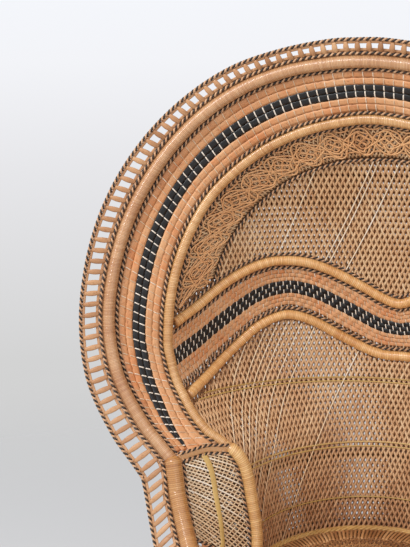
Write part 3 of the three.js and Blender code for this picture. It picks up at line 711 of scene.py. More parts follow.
def stitched(w, sheet, rows, stakes, split=2, thick=1.5, stake_w=2.5, stake_t=1.1, u0=0.0, u1=1.0, per=6, stake_mat=2, white=0.15, slant=0.0):
    """Rows of flat strips held by thin cross stakes that show on every row and dip between rows. rows is as for woven."""
    for j, (a, b, mat, tone, ra, rb) in enumerate(rows):
        ra, rb = max(u0, ra), min(u1, rb)
        n = max(4, int(stakes * per * (rb - ra)) + 1)
        u = np.linspace(ra, rb, n)
        va = a(u) if callable(a) else np.full(n, a)
        vb = b(u) if callable(b) else np.full(n, b)
        for q in range(split):
            v = va + (vb - va) * (q + 0.5) / split
            N = sheet.normal(u, v)
            swell = -0.45 * np.cos(2 * np.pi * u * stakes) + 0.25 * np.sin(u * 71 + j * 3 + q * 2)
            P = sheet.at(u, v) + N * swell[:, None]
            A, B = frames(P, N)
            half = np.linalg.norm(sheet.at(u, vb) - sheet.at(u, va), axis=-1) / 2 / split * (0.97 + 0.03 * np.cos(2 * np.pi * u * stakes))
            sec = flat(2.0, 1.0, 8, 3.4)[None] * np.stack([half, np.full(n, thick)], -1)[:, None, :]
            cells = rng.normal(0, 0.07, int(stakes) + 2)[np.floor(u * stakes).astype(int)]
            t = np.clip(tone + cells + 0.08 * np.sin(u * 23 + j * 2.1 + q) + 0.05 * np.sin(u * 61 + j + 2 * q), 0, 1)
            w.strands(P[None], A[None], B[None], sec[None], tone=t[None], mat=mat)
    ids = np.arange(1, int(round(stakes)))
    ids = ids[(ids / stakes > u0 + 0.001) & (ids / stakes < u1 - 0.001)]
    n = len(rows) * 9 + 5
    q = np.linspace(0, 1, n)
    dark = np.array([r[2] == 1 for r in rows])
    for i in ids:
        c = i / stakes
        edge = [(float(r[0](c)) if callable(r[0]) else r[0]) for r in rows] + [float(rows[-1][1](c)) if callable(rows[-1][1]) else rows[-1][1]]
        low, high = edge[0] - 0.04, edge[-1] + 0.04
        v = low + (high - low) * q
        row = np.interp(v, edge, np.arange(len(edge)) - 0.5)
        row[v < edge[0]] = -0.5
        row[v > edge[-1]] = len(rows) - 0.5
        u = np.clip(c + slant * (v - 0.5) / stakes, 0.0005, 0.9995)
        N = sheet.normal(u, v)
        lift = -0.9 + (2.0 + rng.normal(0, 0.12)) * (1 - np.abs(np.sin(np.pi * row)) ** 6)
        P = sheet.at(u, v) + N * lift[:, None]
        A, B = frames(P, N)
        t = 1.0 if rng.random() < white else float(np.clip(rng.normal(0.46, 0.2), 0, 1))
        on_dark = dark[np.clip(np.round(row).astype(int), 0, len(rows) - 1)]
        wide = np.where(on_dark, 1.0, 0.8)
        sec = flat(stake_w, stake_t, 6)[None] * np.stack([wide, np.ones(n)], -1)[:, None, :]
        w.strands(P[None], A[None], B[None], sec[None], tone=np.where(on_dark, 1.35, t)[None], mat=stake_mat)


def strip_along(w, sheet, v, off, width, lift=0.0, thick=1.4, mat=0, tone=0.5, u0=0.0, u1=1.0, step=6.0):
    P, N = sheet.line(v, off, lift, u0, u1, count=max(20, int(900 * (u1 - u0))))
    path = Path(P)
    n = max(8, int(path.length / step))
    f = np.linspace(0, 1, n)
    s = path.s / path.length
    N = np.stack([np.interp(f, s, N[:, i]) for i in range(3)], -1)
    P = path.at(f)
    A, B = frames(P, N)
    t = np.clip(tone + 0.1 * np.sin(f * 19) + rng.normal(0, 0.03, n), 0, 1)
    w.strands(P[None], A[None], B[None], flat(width, thick, 8, 3.2), tone=t[None], mat=mat)


def loops(w, sheet, pitch, start, stop, u0=0.0, u1=1.0, arch=3.0, mid=9.6, end=7.2, thick=1.7, mat=0):
    """Short bars across an open border, wider in the middle, bowed to the viewer. start and stop are mm in from the two edges."""
    u = np.linspace(u0, u1, 900)
    P = sheet.at(u, np.full_like(u, 0.5))
    s = np.concatenate([[0], np.cumsum(np.linalg.norm(np.diff(P, axis=0), axis=1))])
    count = int(s[-1] / pitch)
    at = np.interp((np.arange(count) + 0.5) / count * s[-1], s, u)
    n = 9
    t = np.linspace(0, 1, n)
    W = sheet.width(at)
    V = (start + (W - start - stop)[:, None] * t[None]) / W[:, None]
    U = np.repeat(at[:, None], n, 1)
    N = sheet.normal(U, V)
    P = sheet.at(U, V) + N * (arch * np.sin(np.pi * t))[None, :, None]
    A, B = frames(P, N)
    tilt = np.radians(rng.normal(5, 4, count))[:, None, None] * np.cos(np.pi * t)[None, :, None]
    A, B = A * np.cos(tilt) + B * np.sin(tilt), B * np.cos(tilt) - A * np.sin(tilt)
    half = (end + (mid - end) * np.sin(np.pi * t)) / 2
    sec = flat(2.0, 1.0, 8, 3.0)[None] * np.stack([half, np.full(n, thick)], -1)[:, None, :]
    w.strands(P, A, B, np.broadcast_to(sec, (count,) + sec.shape), tone=np.clip(rng.normal(0.5, 0.16, count), 0, 1), mat=mat)


def lattice(w, point, normal, arc, lo, hi, side, run, pitch=10.8, width=5.2, thick=1.3, lift=0.75, step=5.0, s_range=900.0, marks=(), mark_tone=1.1, mat=0, tone=(0.50, 0.10), families=(1, -1), s_shift=0.0, plain=False, shade=None):
    """Two families of long diagonal strands, over and under each other unless plain. point(s, z) and normal(s, z) give the surface;
    lo(s), hi(s) and side(z) bound it, run(family, z) is a strand's lean. The strands through marks are thinner, the palest, and lie on top."""
    first = -s_range - 500 + s_shift
    for family in families:
        own, other = (0.0, pitch / 2) if family > 0 else (pitch / 2, 0.0)
        s0s = np.arange(first + own, s_range + 500, pitch)
        bright = [ms - run(1, np.float64(mz)) for ms, mz in marks] if family > 0 else []
        for number, s0 in enumerate(s0s):
            z = np.arange(arc[0], arc[1], step / 2)
            s = s0 + run(family, z)
            ok = (np.abs(s) < side(z)) & (z > lo(s)) & (z < hi(s))
            if not ok.any():
                continue
            # Each unbroken run is one strand.
            cuts = np.flatnonzero(np.diff(np.concatenate([[0], ok.astype(int), [0]])))
            t0, wide, top = float(np.clip(rng.normal(tone[0], tone[1]), 0, 0.80)), width, False
            if any(abs(s0 - b) < pitch / 2 for b in bright):
                t0, wide, top = mark_tone, width * 0.6, True
            for a, b in zip(cuts[::2], cuts[1::2]):
                za, zb = z[a], z[b - 1]
                if zb - za < 6:
                    continue
                if plain or top:
                    zz = np.linspace(za, zb, max(4, int((zb - za) / step) + 1))
                    rise = 2.0 if top else lift * family
                else:
                    # One point at every crossing and one midway; the strand rises over every second one.
                    fine = np.linspace(za, zb, int(zb - za) + 3)
                    crossed = (s0 + run(family, fine) - run(-family, fine) - first - other) / pitch
                    stops = np.arange(np.ceil(2 * min(crossed[0], crossed[-1])), np.floor(2 * max(crossed[0], crossed[-1])) + 1) / 2
                    zz = np.sort(np.interp(stops * family, crossed * family, fine) if family > 0 else np.interp((stops * family)[::-1], crossed * family, fine))
                    zz = np.concatenate([[za], zz[(zz > za + 1.2) & (zz < zb - 1.2)], [zb]])
                    crossed = (s0 + run(family, zz) - run(-family, zz) - first - other) / pitch
                    rise = (family * lift * np.cos(np.pi * (number + crossed)))[:, None]
                ss = s0 + run(family, zz)
                N = normal(ss, zz)
                P = point(ss, zz) + N * rise
                A, B = frames(P, N)
                # shade, when given, changes the tone by height; the lower lattice uses it as painted shade towards the
                # bottom.
                t = t0 + rng.normal(0, 0.03, len(zz)) + (shade(zz) if shade else 0.0)
                w.strands(P[None], A[None], B[None], flat(wide, thick, 6), tone=np.clip(t, 0, 1.3)[None], mat=mat)


# ------------------------------------------------------------------ hood
inner_rail, outer_rail, edge_rail = rail(mirrored(INNER_RAIL)), rail(mirrored(OUTER_RAIL)), rail(mirrored(EDGE_RAIL))



def longer(path, start, stop=None):
    """The path carried on straight at both ends by some mm."""
    stop = start if stop is None else stop
    p = path.p
    a, b = unit(p[0] - p[3]), unit(p[-1] - p[-4])
    return Path(np.vstack([p[0] + a * start, p, p[-1] + b * stop]))


w = Weave()
bound_tube(w, longer(outer_rail, 9.0), HOOD_OUTER_R)
w.build("hood_outer_bound_pole", [bound_mat], ["hood_outer_tube"])
w = Weave()
bound_tube(w, longer(inner_rail, 6.0), HOOD_INNER_R, pitch=3.3)
w.build("hood_inner_bound_pole", [inner_mat], ["hood_inner_tube"])

band = Sheet(ribbon(inner_rail, outer_rail, HOOD_INNER_R + 0.4, HOOD_OUTER_R + 0.4, 0.0, 1.0))


def taper(points):
    f = smooth(points)
    return lambda u: f(np.abs(2 * np.asarray(u, float) - 1))


black_in = taper([(0, 0.362), (0.80, 0.362), (0.86, 0.385), (0.905, 0.45), (0.949, 0.553), (0.985, 0.65), (1.0, 0.69)])
black_out = taper([(0, 0.638), (0.80, 0.638), (0.86, 0.652), (0.905, 0.676), (0.949, 0.718), (0.985, 0.70), (1.0, 0.72)])


def between(a, b, q):
    return lambda u: a(u) * (1 - q) + b(u) * q


low_edge, high_edge = (lambda u: 0.075 + 0 * u), (lambda u: 0.925 + 0 * u)
hood_rows = [
    (low_edge, between(low_edge, black_in, 0.5), 0, 0.58, 0.004, 0.996),
    (between(low_edge, black_in, 0.5), black_in, 0, 0.66, 0.004, 0.996),
    (black_in, between(black_in, black_out, 0.5), 1, 0.45, 0.0085, 0.9915),
    (between(black_in, black_out, 0.5), black_out, 1, 0.45, 0.0085, 0.9915),
    (black_out, between(black_out, high_edge, 0.5), 0, 0.60, 0.004, 0.996),
    (between(black_out, high_edge, 0.5), high_edge, 0, 0.38, 0.004, 0.996),
]
w = Weave()
stitched(w, band, hood_rows, 110, split=1, thick=1.6, slant=0.25)
# Plain strips close the band under its two braids.
strip_along(w, band, 0.0, 5.6, 14.0, lift=-1.9, tone=0.3)
strip_along(w, band, 1.0, -5.6, 14.0, lift=-1.9, tone=0.3)
for row in hood_rows[1:]:
    strip_along(w, band, row[0] if callable(row[0]) else float(row[0]), 0.0, 11.0, lift=-1.9, mat=row[2], tone=0.4, u0=row[4], u1=row[5])
w.build("hood_band_weave", [peel_mat, black_mat, pale_mat], ["hood_band_inner", "hood_band_black", "hood_band_outer"])

w = Weave()
for v, off in ((1.0, -3.4), (0.0, 3.4)):
    P, N = band.line(v, off, 2.0)
    braid(w, P, N, phase=rng.uniform(0, 6))
w.build("hood_band_braids", [braid_blk, braid_nat])

border = Sheet(ribbon(outer_rail, edge_rail, HOOD_OUTER_R + 1.2, 3.6))
w = Weave()
loops(w, border, 21.4, 5.2, 1.0, mid=10.8, end=6.2, thick=3.0)
strip_along(w, border, 0.0, 9.6, 5.4, lift=-0.6, tone=0.55)
strip_along(w, border, 0.0, 1.6, 10.0, lift=-1.6, tone=0.3)
strip_along(w, border, 1.0, -2.6, 5.8, lift=-0.4, tone=0.55)
w.build("hood_loop_border_weave", [loop_mat], ["hood_loop_border"])
w = Weave()
P, N = border.line(0.0, 3.2, 0.6)
braid(w, P, N)
w.build("hood_border_braid", [braid_blk, braid_nat])
w = Weave()
P, N = border.line(1.0, 3.4, 0.2)
braid(w, P, N)
w.build("hood_edge_twist", [braid_blk, braid_nat], ["hood_edge_braid"])

# A braid inside the inner pole, from the wave's end on one side over the top to the other.
lace_rail = rail(mirrored(INNER_RAIL[:9] + [(-399, 57, -66)]))

# ------------------------------------------------------------------ wave across the back
WAVE_TOP_END, WAVE_BOTTOM_END = 69.2, 75.7


def on_dish(heights, reach, count):
    deg = reach * np.arange(-count, count + 1) / count
    return Path(spline(dish(np.radians(deg), heights(np.abs(deg)))))


w = Weave()
bound_tube(w, on_dish(wave_top, WAVE_TOP_END, 14), WAVE_R, pitch=3.8, sides=12)
w.build("wave_upper_bound_pole", [wave_lit_mat], ["wave_upper_tube"])
w = Weave()
bound_tube(w, on_dish(wave_bottom, WAVE_BOTTOM_END, 16), WAVE_R, pitch=3.8, sides=12)
w.build("wave_lower_bound_pole", [wave_lit_mat], ["wave_lower_tube"])


def wave_at(u, v):
    q = 2 * np.asarray(u, float) - 1
    low_phi, high_phi = 76.0 * q, 70.4 * q
    low, high = clear_of(wave_bottom, low_phi, WAVE_R + 1.0), clear_of(wave_top, high_phi, -WAVE_R - 1.0)
    return dish(np.radians(low_phi + (high_phi - low_phi) * v), low + (high - low) * v)


wave = Sheet(wave_at)
W0, W1, W2, W3 = 0.10, 0.368, 0.655, 0.92
wave_rows = [(W0 + (W1 - W0) * i / 3, W0 + (W1 - W0) * (i + 1) / 3, 0, 0.62 + 0.05 * i, 0.0, 1.0) for i in range(3)]
wave_rows += [(W1 + (W2 - W1) * i / 3, W1 + (W2 - W1) * (i + 1) / 3, 1, 0.4, 0.0, 1.0) for i in range(3)]
wave_rows += [(W2 + (W3 - W2) * i / 3, W2 + (W3 - W2) * (i + 1) / 3, 0, 0.74 - 0.05 * i, 0.0, 1.0) for i in range(3)]
w = Weave()
woven(w, wave, wave_rows, 138, amp=0.95, thick=1.4, stake_w=2.2, stake_t=1.0, fill=0.97, v0=0.0, v1=1.0, u0=0.001, u1=0.999, white=0.04, slant=-0.18, per=5)
strip_along(w, wave, 0.0, 2.6, 7.0, lift=-1.6, tone=0.3)
strip_along(w, wave, 1.0, -2.6, 7.0, lift=-1.6, tone=0.3)
w.build("wave_band_weave", [peel_mat, black_mat, pale_mat], ["wave_band_lower", "wave_band_black", "wave_band_upper"])
w = Weave()
for v, off in ((1.0, -3.2), (0.0, 3.2)):
    P, N = wave.line(v, off, 1.4, 0.004, 0.996)
    braid(w, P, N, phase=rng.uniform(0, 6))
deg = np.linspace(-66.0, 66.0, 700)
z = clear_of(wave_top, deg, WAVE_R + 3.4)
P = dish(np.radians(deg), z)
N = dish_normal(np.radians(deg), z)
braid(w, P + N * 1.0, N)
w.build("wave_braids", [braid_blk, braid_nat])

# ------------------------------------------------------------------ lace and the lattices
LACE_END = 53.2
lace_curve = on_dish(lace_height, LACE_END, 16)
w = Weave()
f = np.linspace(0, 1, 900)
P = lace_curve.at(f)


def angle_on(p):
    return np.arctan2(p[..., 0] / dish_width(p[..., 2]), 1 - (dish_depth(p[..., 2]) - p[..., 1]) / dish_section(p[..., 2]))


N = dish_normal(angle_on(P), P[:, 2])
braid(w, P + N * 2.2, N)
# Behind the ring braid lies a broad strip in the painted-shade colour.
P = P[::3] - N[::3] * 4.4
A, B = frames(P, N[::3])
w.strands(P[None], A[None], B[None], flat(19.0, 1.4, 8, 3.2), tone=1.0, mat=2)
w.build("lace_ring_braid", [braid_blk, braid_nat, shade_under_mat], ["lace_braid"])


def lace_at(u, v):
    u, v = np.broadcast_arrays(np.asarray(u, float), np.asarray(v, float))
    a, b = lace_curve.at(u), lace_rail.at(u)
    span = np.linalg.norm(b - a, axis=-1)
    slant = np.linalg.norm(np.cross((b - a) / span[..., None], lace_rail.tangent(u)), axis=-1)
    near, far = 3.4, (HOOD_INNER_R + 3.0) / np.maximum(0.45, slant)
    t = (near + (span - near - far) * v) / span
    pa, pb = angle_on(a), angle_on(b)
    return dish(pa + (pb - pa) * t, a[..., 2] + (b[..., 2] - a[..., 2]) * t)


lace = Sheet(lace_at)
w = Weave()
P, N = lace.line(1.0, -0.6, 2.0, 0.0, 1.0)
braid(w, P, N, phase=1.0)
w.build("hood_inner_braid", [braid_blk, braid_nat])

w = Weave()
# Two strand bundles swing across the lace in opposite phase; each crossing and each lens between them has its own small star.
uu = np.linspace(0, 1, 1500)
mid_line = lace.at(uu, np.full_like(uu, 0.5))
mid_len = np.concatenate([[0], np.cumsum(np.linalg.norm(np.diff(mid_line, axis=0), axis=1))])
lace_len = float(mid_len[-1])
half_period = lace_len / round(lace_len / 55.0)
bays = int(round(lace_len / half_period))
span_mid = float(np.median(lace.width(uu)))


def lace_strand(x, y, lift, width=2.7, thick=1.2, tone=0.5, mat=0):
    """x mm along the lace's middle line, y as a share across it, 0 at the ring and 1 at the pole; cut where it leaves the lace."""
    inside = (x > 0.5) & (x < lace_len - 0.5) & (y > 0.01) & (y < 0.99)
    cuts = np.flatnonzero(np.diff(np.concatenate([[0], inside.astype(int), [0]])))
    lift = np.broadcast_to(np.asarray(lift, float), x.shape)
    for a, b in zip(cuts[::2], cuts[1::2]):
        if b - a < 5:
            continue
        u, v = np.interp(x[a:b], mid_len, uu), y[a:b]
        N = lace.normal(u, v)
        P = lace.at(u, v) + N * lift[a:b, None]
        A, B = frames(P, N)
        w.strands(P[None], A[None], B[None], flat(width, thick, 6), tone=tone, mat=mat)


def near(mean, spread=0.12):
    return float(np.clip(rng.normal(mean, spread), 0, 1))


# Two bundles of three strands swing across the lace in opposite phase as a rounded zigzag.
x = np.linspace(1.0, lace_len - 1.0, int(lace_len / 1.7))
for group in (0, 1):
    phase = np.pi * x / half_period + np.pi * group
    yc = 0.5 + 0.35 * np.arcsin(0.88 * np.cos(phase)) / math.asin(0.88)
    slope_y = np.gradient(yc * span_mid, x)
    length = np.hypot(1, slope_y)
    run_len = np.cumsum(length * (x[1] - x[0]))
    over = (1 if group else -1) * np.cos(phase + np.pi / 2) * 0.9
    for q in range(3):
        turn = 2 * np.pi * (run_len / 47.0 + q / 3.0)
        d = 5.6 * (q - 1) + 2.4 * np.sin(turn)
        lace_strand(x - d * slope_y / length, yc + d / length / span_mid, 2.0 + over + 0.7 * np.cos(2 * turn), width=3.5, thick=1.3, tone=near(0.88))
t = np.linspace(0.0, np.pi, 17)
for bay in range(bays + 1):
    # Arches stand round the openings below and above each crossing.
    cx = (bay + 0.5) * half_period
    for foot, up, rx, ry in ((0.0, 1, 15.5, 18.5), (1.0, -1, 13.0, 13.0)):
        cx_part = np.sign(np.cos(t)) * np.abs(np.cos(t)) ** 0.7 * rx
        lace_strand(cx + cx_part, foot + up * np.abs(np.sin(t)) ** 0.7 * ry / span_mid, 0.5, width=3.8, tone=near(0.8))
    # In the lens between two crossings stand a cross of two strands and, away from the ends, four small rings.
    cx = bay * half_period
    q = np.linspace(-1, 1, 9)
    for turn in (1, -1):
        lace_strand(cx + q * 17.0, 0.5 + turn * q * 17.0 / span_mid, 0.2 + 0.5 * turn, width=3.0, tone=near(0.72))
    for dx, dy in ((-9.0, 0), (9.0, 0), (0, 10.0), (0, -10.0)):
        if not 20 < cx < lace_len - 20:
            continue
        a = np.linspace(0, 2 * np.pi, 21)[:-1]
        u = np.interp(cx + dx + 7.4 * np.cos(a), mid_len, uu)
        v = 0.5 + (dy + 7.6 * np.sin(a)) / span_mid
        N = lace.normal(u, v)
        P = lace.at(u, v) + N * (1.2 + 0.5 * np.cos(3 * a))[:, None]
        T = unit(np.roll(P, -1, 0) - np.roll(P, 1, 0))
        B = unit(N - np.sum(N * T, -1, keepdims=True) * T)
        w.strands(P[None], np.cross(B, T)[None], B[None], flat(3.0, 1.2, 6), tone=near(0.78), closed=True)
# Fine fringe strands behind run out to the pole, and a plain crossed layer, dark as painted shade, closes the openings.
y = np.linspace(0.011, 0.989, 13)
for family in (1, -1):
    for x0 in np.arange(-40, lace_len + 40, 8.6):
        lace_strand(x0 + family * (y - 0.5) * span_mid * 0.5, y, -1.9 + 0.7 * family, width=3.7, thick=1.1, tone=near(0.66, 0.14), mat=2)
    for x0 in np.arange(-70, lace_len + 70, 8.0):
        lace_strand(x0 + family * (y - 0.5) * span_mid * 0.9, y, -4.6 + 0.8 * family, width=4.6, thick=1.2, tone=near(0.6), mat=1)
w.build("lace_weave", [lace_mat, shade_under_mat, strand_mat], ["lace_ring"])

# Level arcs are measured on the dish, so the strands run straight over it.
GZ = np.linspace(-600, 420, 256)
GP = np.radians(np.linspace(0, 130, 261))
_zz, _pp = np.meshgrid(GZ, GP, indexing="ij")
_pts = dish(_pp, _zz)
_arc = np.concatenate([np.zeros((len(GZ), 1)), np.cumsum(np.linalg.norm(np.diff(_pts, axis=1), axis=2), axis=1)], 1)


def phi_of(s, z):
    """The angle at arc length s from the centre plane, at height z."""
    s, z = np.broadcast_arrays(np.asarray(s, float), np.asarray(z, float))
    fz = np.clip((z - GZ[0]) / (GZ[1] - GZ[0]), 0, len(GZ) - 1.001)
    i = fz.astype(int)
    t = fz - i
    out = np.empty(s.shape)
    flat_s, flat_i, flat_t = np.abs(s).ravel(), i.ravel(), t.ravel()
    res = out.ravel()
    for k in range(len(flat_s)):
        row = _arc[flat_i[k]] * (1 - flat_t[k]) + _arc[flat_i[k] + 1] * flat_t[k]
        res[k] = np.interp(flat_s[k], row, GP)
    return res.reshape(s.shape) * np.sign(s)


def arc_of(phi, z):
    phi, z = np.broadcast_arrays(np.asarray(phi, float), np.asarray(z, float))
    out = np.empty(phi.shape).ravel()
    for k, (p, h) in enumerate(zip(np.abs(phi).ravel(), z.ravel())):
        fz = np.clip((h - GZ[0]) / (GZ[1] - GZ[0]), 0, len(GZ) - 1.001)
        i = int(fz)
        row = _arc[i] * (1 - (fz - i)) + _arc[i + 1] * (fz - i)
        out[k] = np.interp(p, GP, row)
    return out.reshape(phi.shape) * np.sign(phi)


def on_arc(s, z):
    return dish(phi_of(s, z), z)


def arc_normal(s, z):
    return dish_normal(phi_of(s, z), z)


def table_of(values, keys):
    return lambda x: np.interp(x, keys, values)


# Bounds of each lattice over the arc length, read at its own heights.
deg = np.linspace(-LACE_END, LACE_END, 241)
z_ring = lace_height(np.abs(deg))
ring_s = arc_of(np.radians(deg), z_ring)
deg_w = np.linspace(-69, 69, 277)
z_top = clear_of(wave_top, deg_w, WAVE_R + 1.0)
top_s = arc_of(np.radians(deg_w), z_top)
deg_b = np.linspace(-84, 84, 337)
z_bot = clear_of(wave_bottom, deg_b, -WAVE_R - 1.0)
bot_s = arc_of(np.radians(deg_b), z_bot)
# The side follows the poles, so that the strands end against them.
SIDE = [(-545, 92.5), (-498, 92.2), (-461, 90.0), (-423, 87.6), (-386, 85.1), (-349, 83.2), (-304, 82.8), (-286, 82.6), (-264, 80.9), (-238, 78.9), (-212, 76.9), (-184, 75.3)]
z_side = np.linspace(-545, -184, 90)
side_s = arc_of(np.radians(smooth(SIDE)(z_side)), z_side)
hood_line = inner_rail.at(np.linspace(0.105, 0.895, 321))
hood_s = arc_of(angle_on(hood_line), hood_line[:, 2])

def lean(family, z):
    """How far a strand of a family has moved along the arc by the height z; both families lean further left above the wave."""
    z = np.asarray(z, float)
    bend = np.clip((z + 150.0) / 100.0, 0, 1)
    above = np.where(z > -50.0, z + 100.0, 50.0 * bend * bend)
    if family > 0:
        return 0.49 * z + (0.62 - 0.49) * above
    return -0.455 * z + (0.455 - 0.27) * above


FRONT_PITCH = 10.8
UPPER_MARKS = ((-6.7, 244.3), (-27.6, 229.4), (29.8, 234.8), (-190.9, 135.2))
LOWER_MARKS = (
    (-330.1, -134.5), (-263.3, -158.3), (-304.0, -150.0), (-285.0, -150.0), (-236.0, -150.0), (-204.0, -150.0), (-122.0, -230.0),
)
w = Weave()
lattice(
    w, on_arc, arc_normal, (-95.0, 256.0), table_of(z_top, top_s),
    lambda s: np.interp(s, ring_s, z_ring, left=-999, right=-999), lambda z: 9999.0 + 0 * z, lean, pitch=FRONT_PITCH, marks=UPPER_MARKS, tone=(0.66, 0.10),
)
w.build("upper_lattice_strands", [strand_mat], ["upper_lattice"])
# The lower lattice's tones fall off below -330 mm: painted shade towards the bottom.
w = Weave()
lattice(
    w, on_arc, arc_normal, (-553.0, -95.0), lambda s: -551.5 + 0 * s,
    lambda s: np.interp(s, bot_s, z_bot, left=-999, right=-999),
    lambda z: np.interp(z, z_side, side_s, right=9999.0), lean, pitch=FRONT_PITCH, marks=LOWER_MARKS, mark_tone=0.95, shade=lambda z: 0.08 + 0.0019 * np.minimum(0.0, z + 330.0),
)
for z, depth, tone in ((-228.0, 2.2, 0.2), (-236.0, 2.2, 0.5), (-366.0, 2.2, 0.9), (-375.0, 2.2, 0.7), (-484.0, 2.2, 0.2), (-241.0, -3.6, 9.0), (-388.0, -3.6, 24.0), (-492.0, -3.6, 9.0), (-541.0, -3.6, 20.0)):
    reach = float(np.interp(z, z_side, side_s)) - 4.0
    if (z_bot < z + 2.0).any():
        reach = min(reach, float(np.abs(bot_s)[z_bot < z + 2.0].min()) - 3.0)
    ss = np.linspace(-reach, reach, 120)
    zz = np.full(120, z)
    N = arc_normal(ss, zz)
    P = on_arc(ss, zz) + N * depth
    A, B = frames(P, N)
    if depth > 0:
        w.strands(P[None], A[None], B[None], flat(2.8, 1.1, 6), tone=tone, mat=1)
    else:
        # A dark backing strap in painted shade; its third value is its height.
        w.strands(P[None], A[None], B[None], flat(tone, 1.2, 6), tone=0.2, mat=2)
w.build("lower_lattice_strands", [strand_mat, flat_mat, shade_under_mat], ["lower_lattice"])


# A second, plainer layer of the same strands lies behind the ribs; the two together give the back its shifting holes.
def rear_point(s, z):
    phi = phi_of(s, z)
    return dish(phi, z) - dish_normal(phi, z) * 12.5


# The shifts put the rear gaps behind the front gaps low in the middle of the back and beside it.
# Painted shade: the rear strands take much darker tones than the front ones.
for family, tag, shift in ((1, "a", 2.5), (-1, "b", 0.6)):
    w = Weave()
    lattice(
        w, rear_point, arc_normal, (-550.0, 334.0), lambda s: -549.0 + 0 * s,
        lambda s: np.interp(s, hood_s, hood_line[:, 2] - 7.0, left=-999, right=-999),
        lambda z: np.where(z < -186, np.interp(z, z_side, side_s), 9999.0) - 2.0, lean, pitch=FRONT_PITCH, families=(family,), width=7.3, thick=1.4, lift=0.8, step=8.0,
        tone=(0.24, 0.10), s_shift=shift, plain=True,
    )
    w.build("back_rear_layer_%s" % tag, [strand_mat])

# ------------------------------------------------------------------ level ribs behind the back
for k, (z, reach) in enumerate(((208, 38), (158, 46), (-235, 68), (-400, 74), (-490, 74)), 1):
    a = dish_width(z) * np.sin(np.radians(np.arange(-8, 9) / 8 * reach))
    phi = np.arcsin(a / dish_width(z))
    P = dish(phi, np.full(17, float(z))) - dish_normal(phi, np.full(17, float(z))) * 8.1
    w = Weave()
    cane_pole(w, spline(P), 4.0, tone=0.45)
    w.build("level_rib_%d" % k, [shaded_rib_mat], ["back_rib_%d" % k])
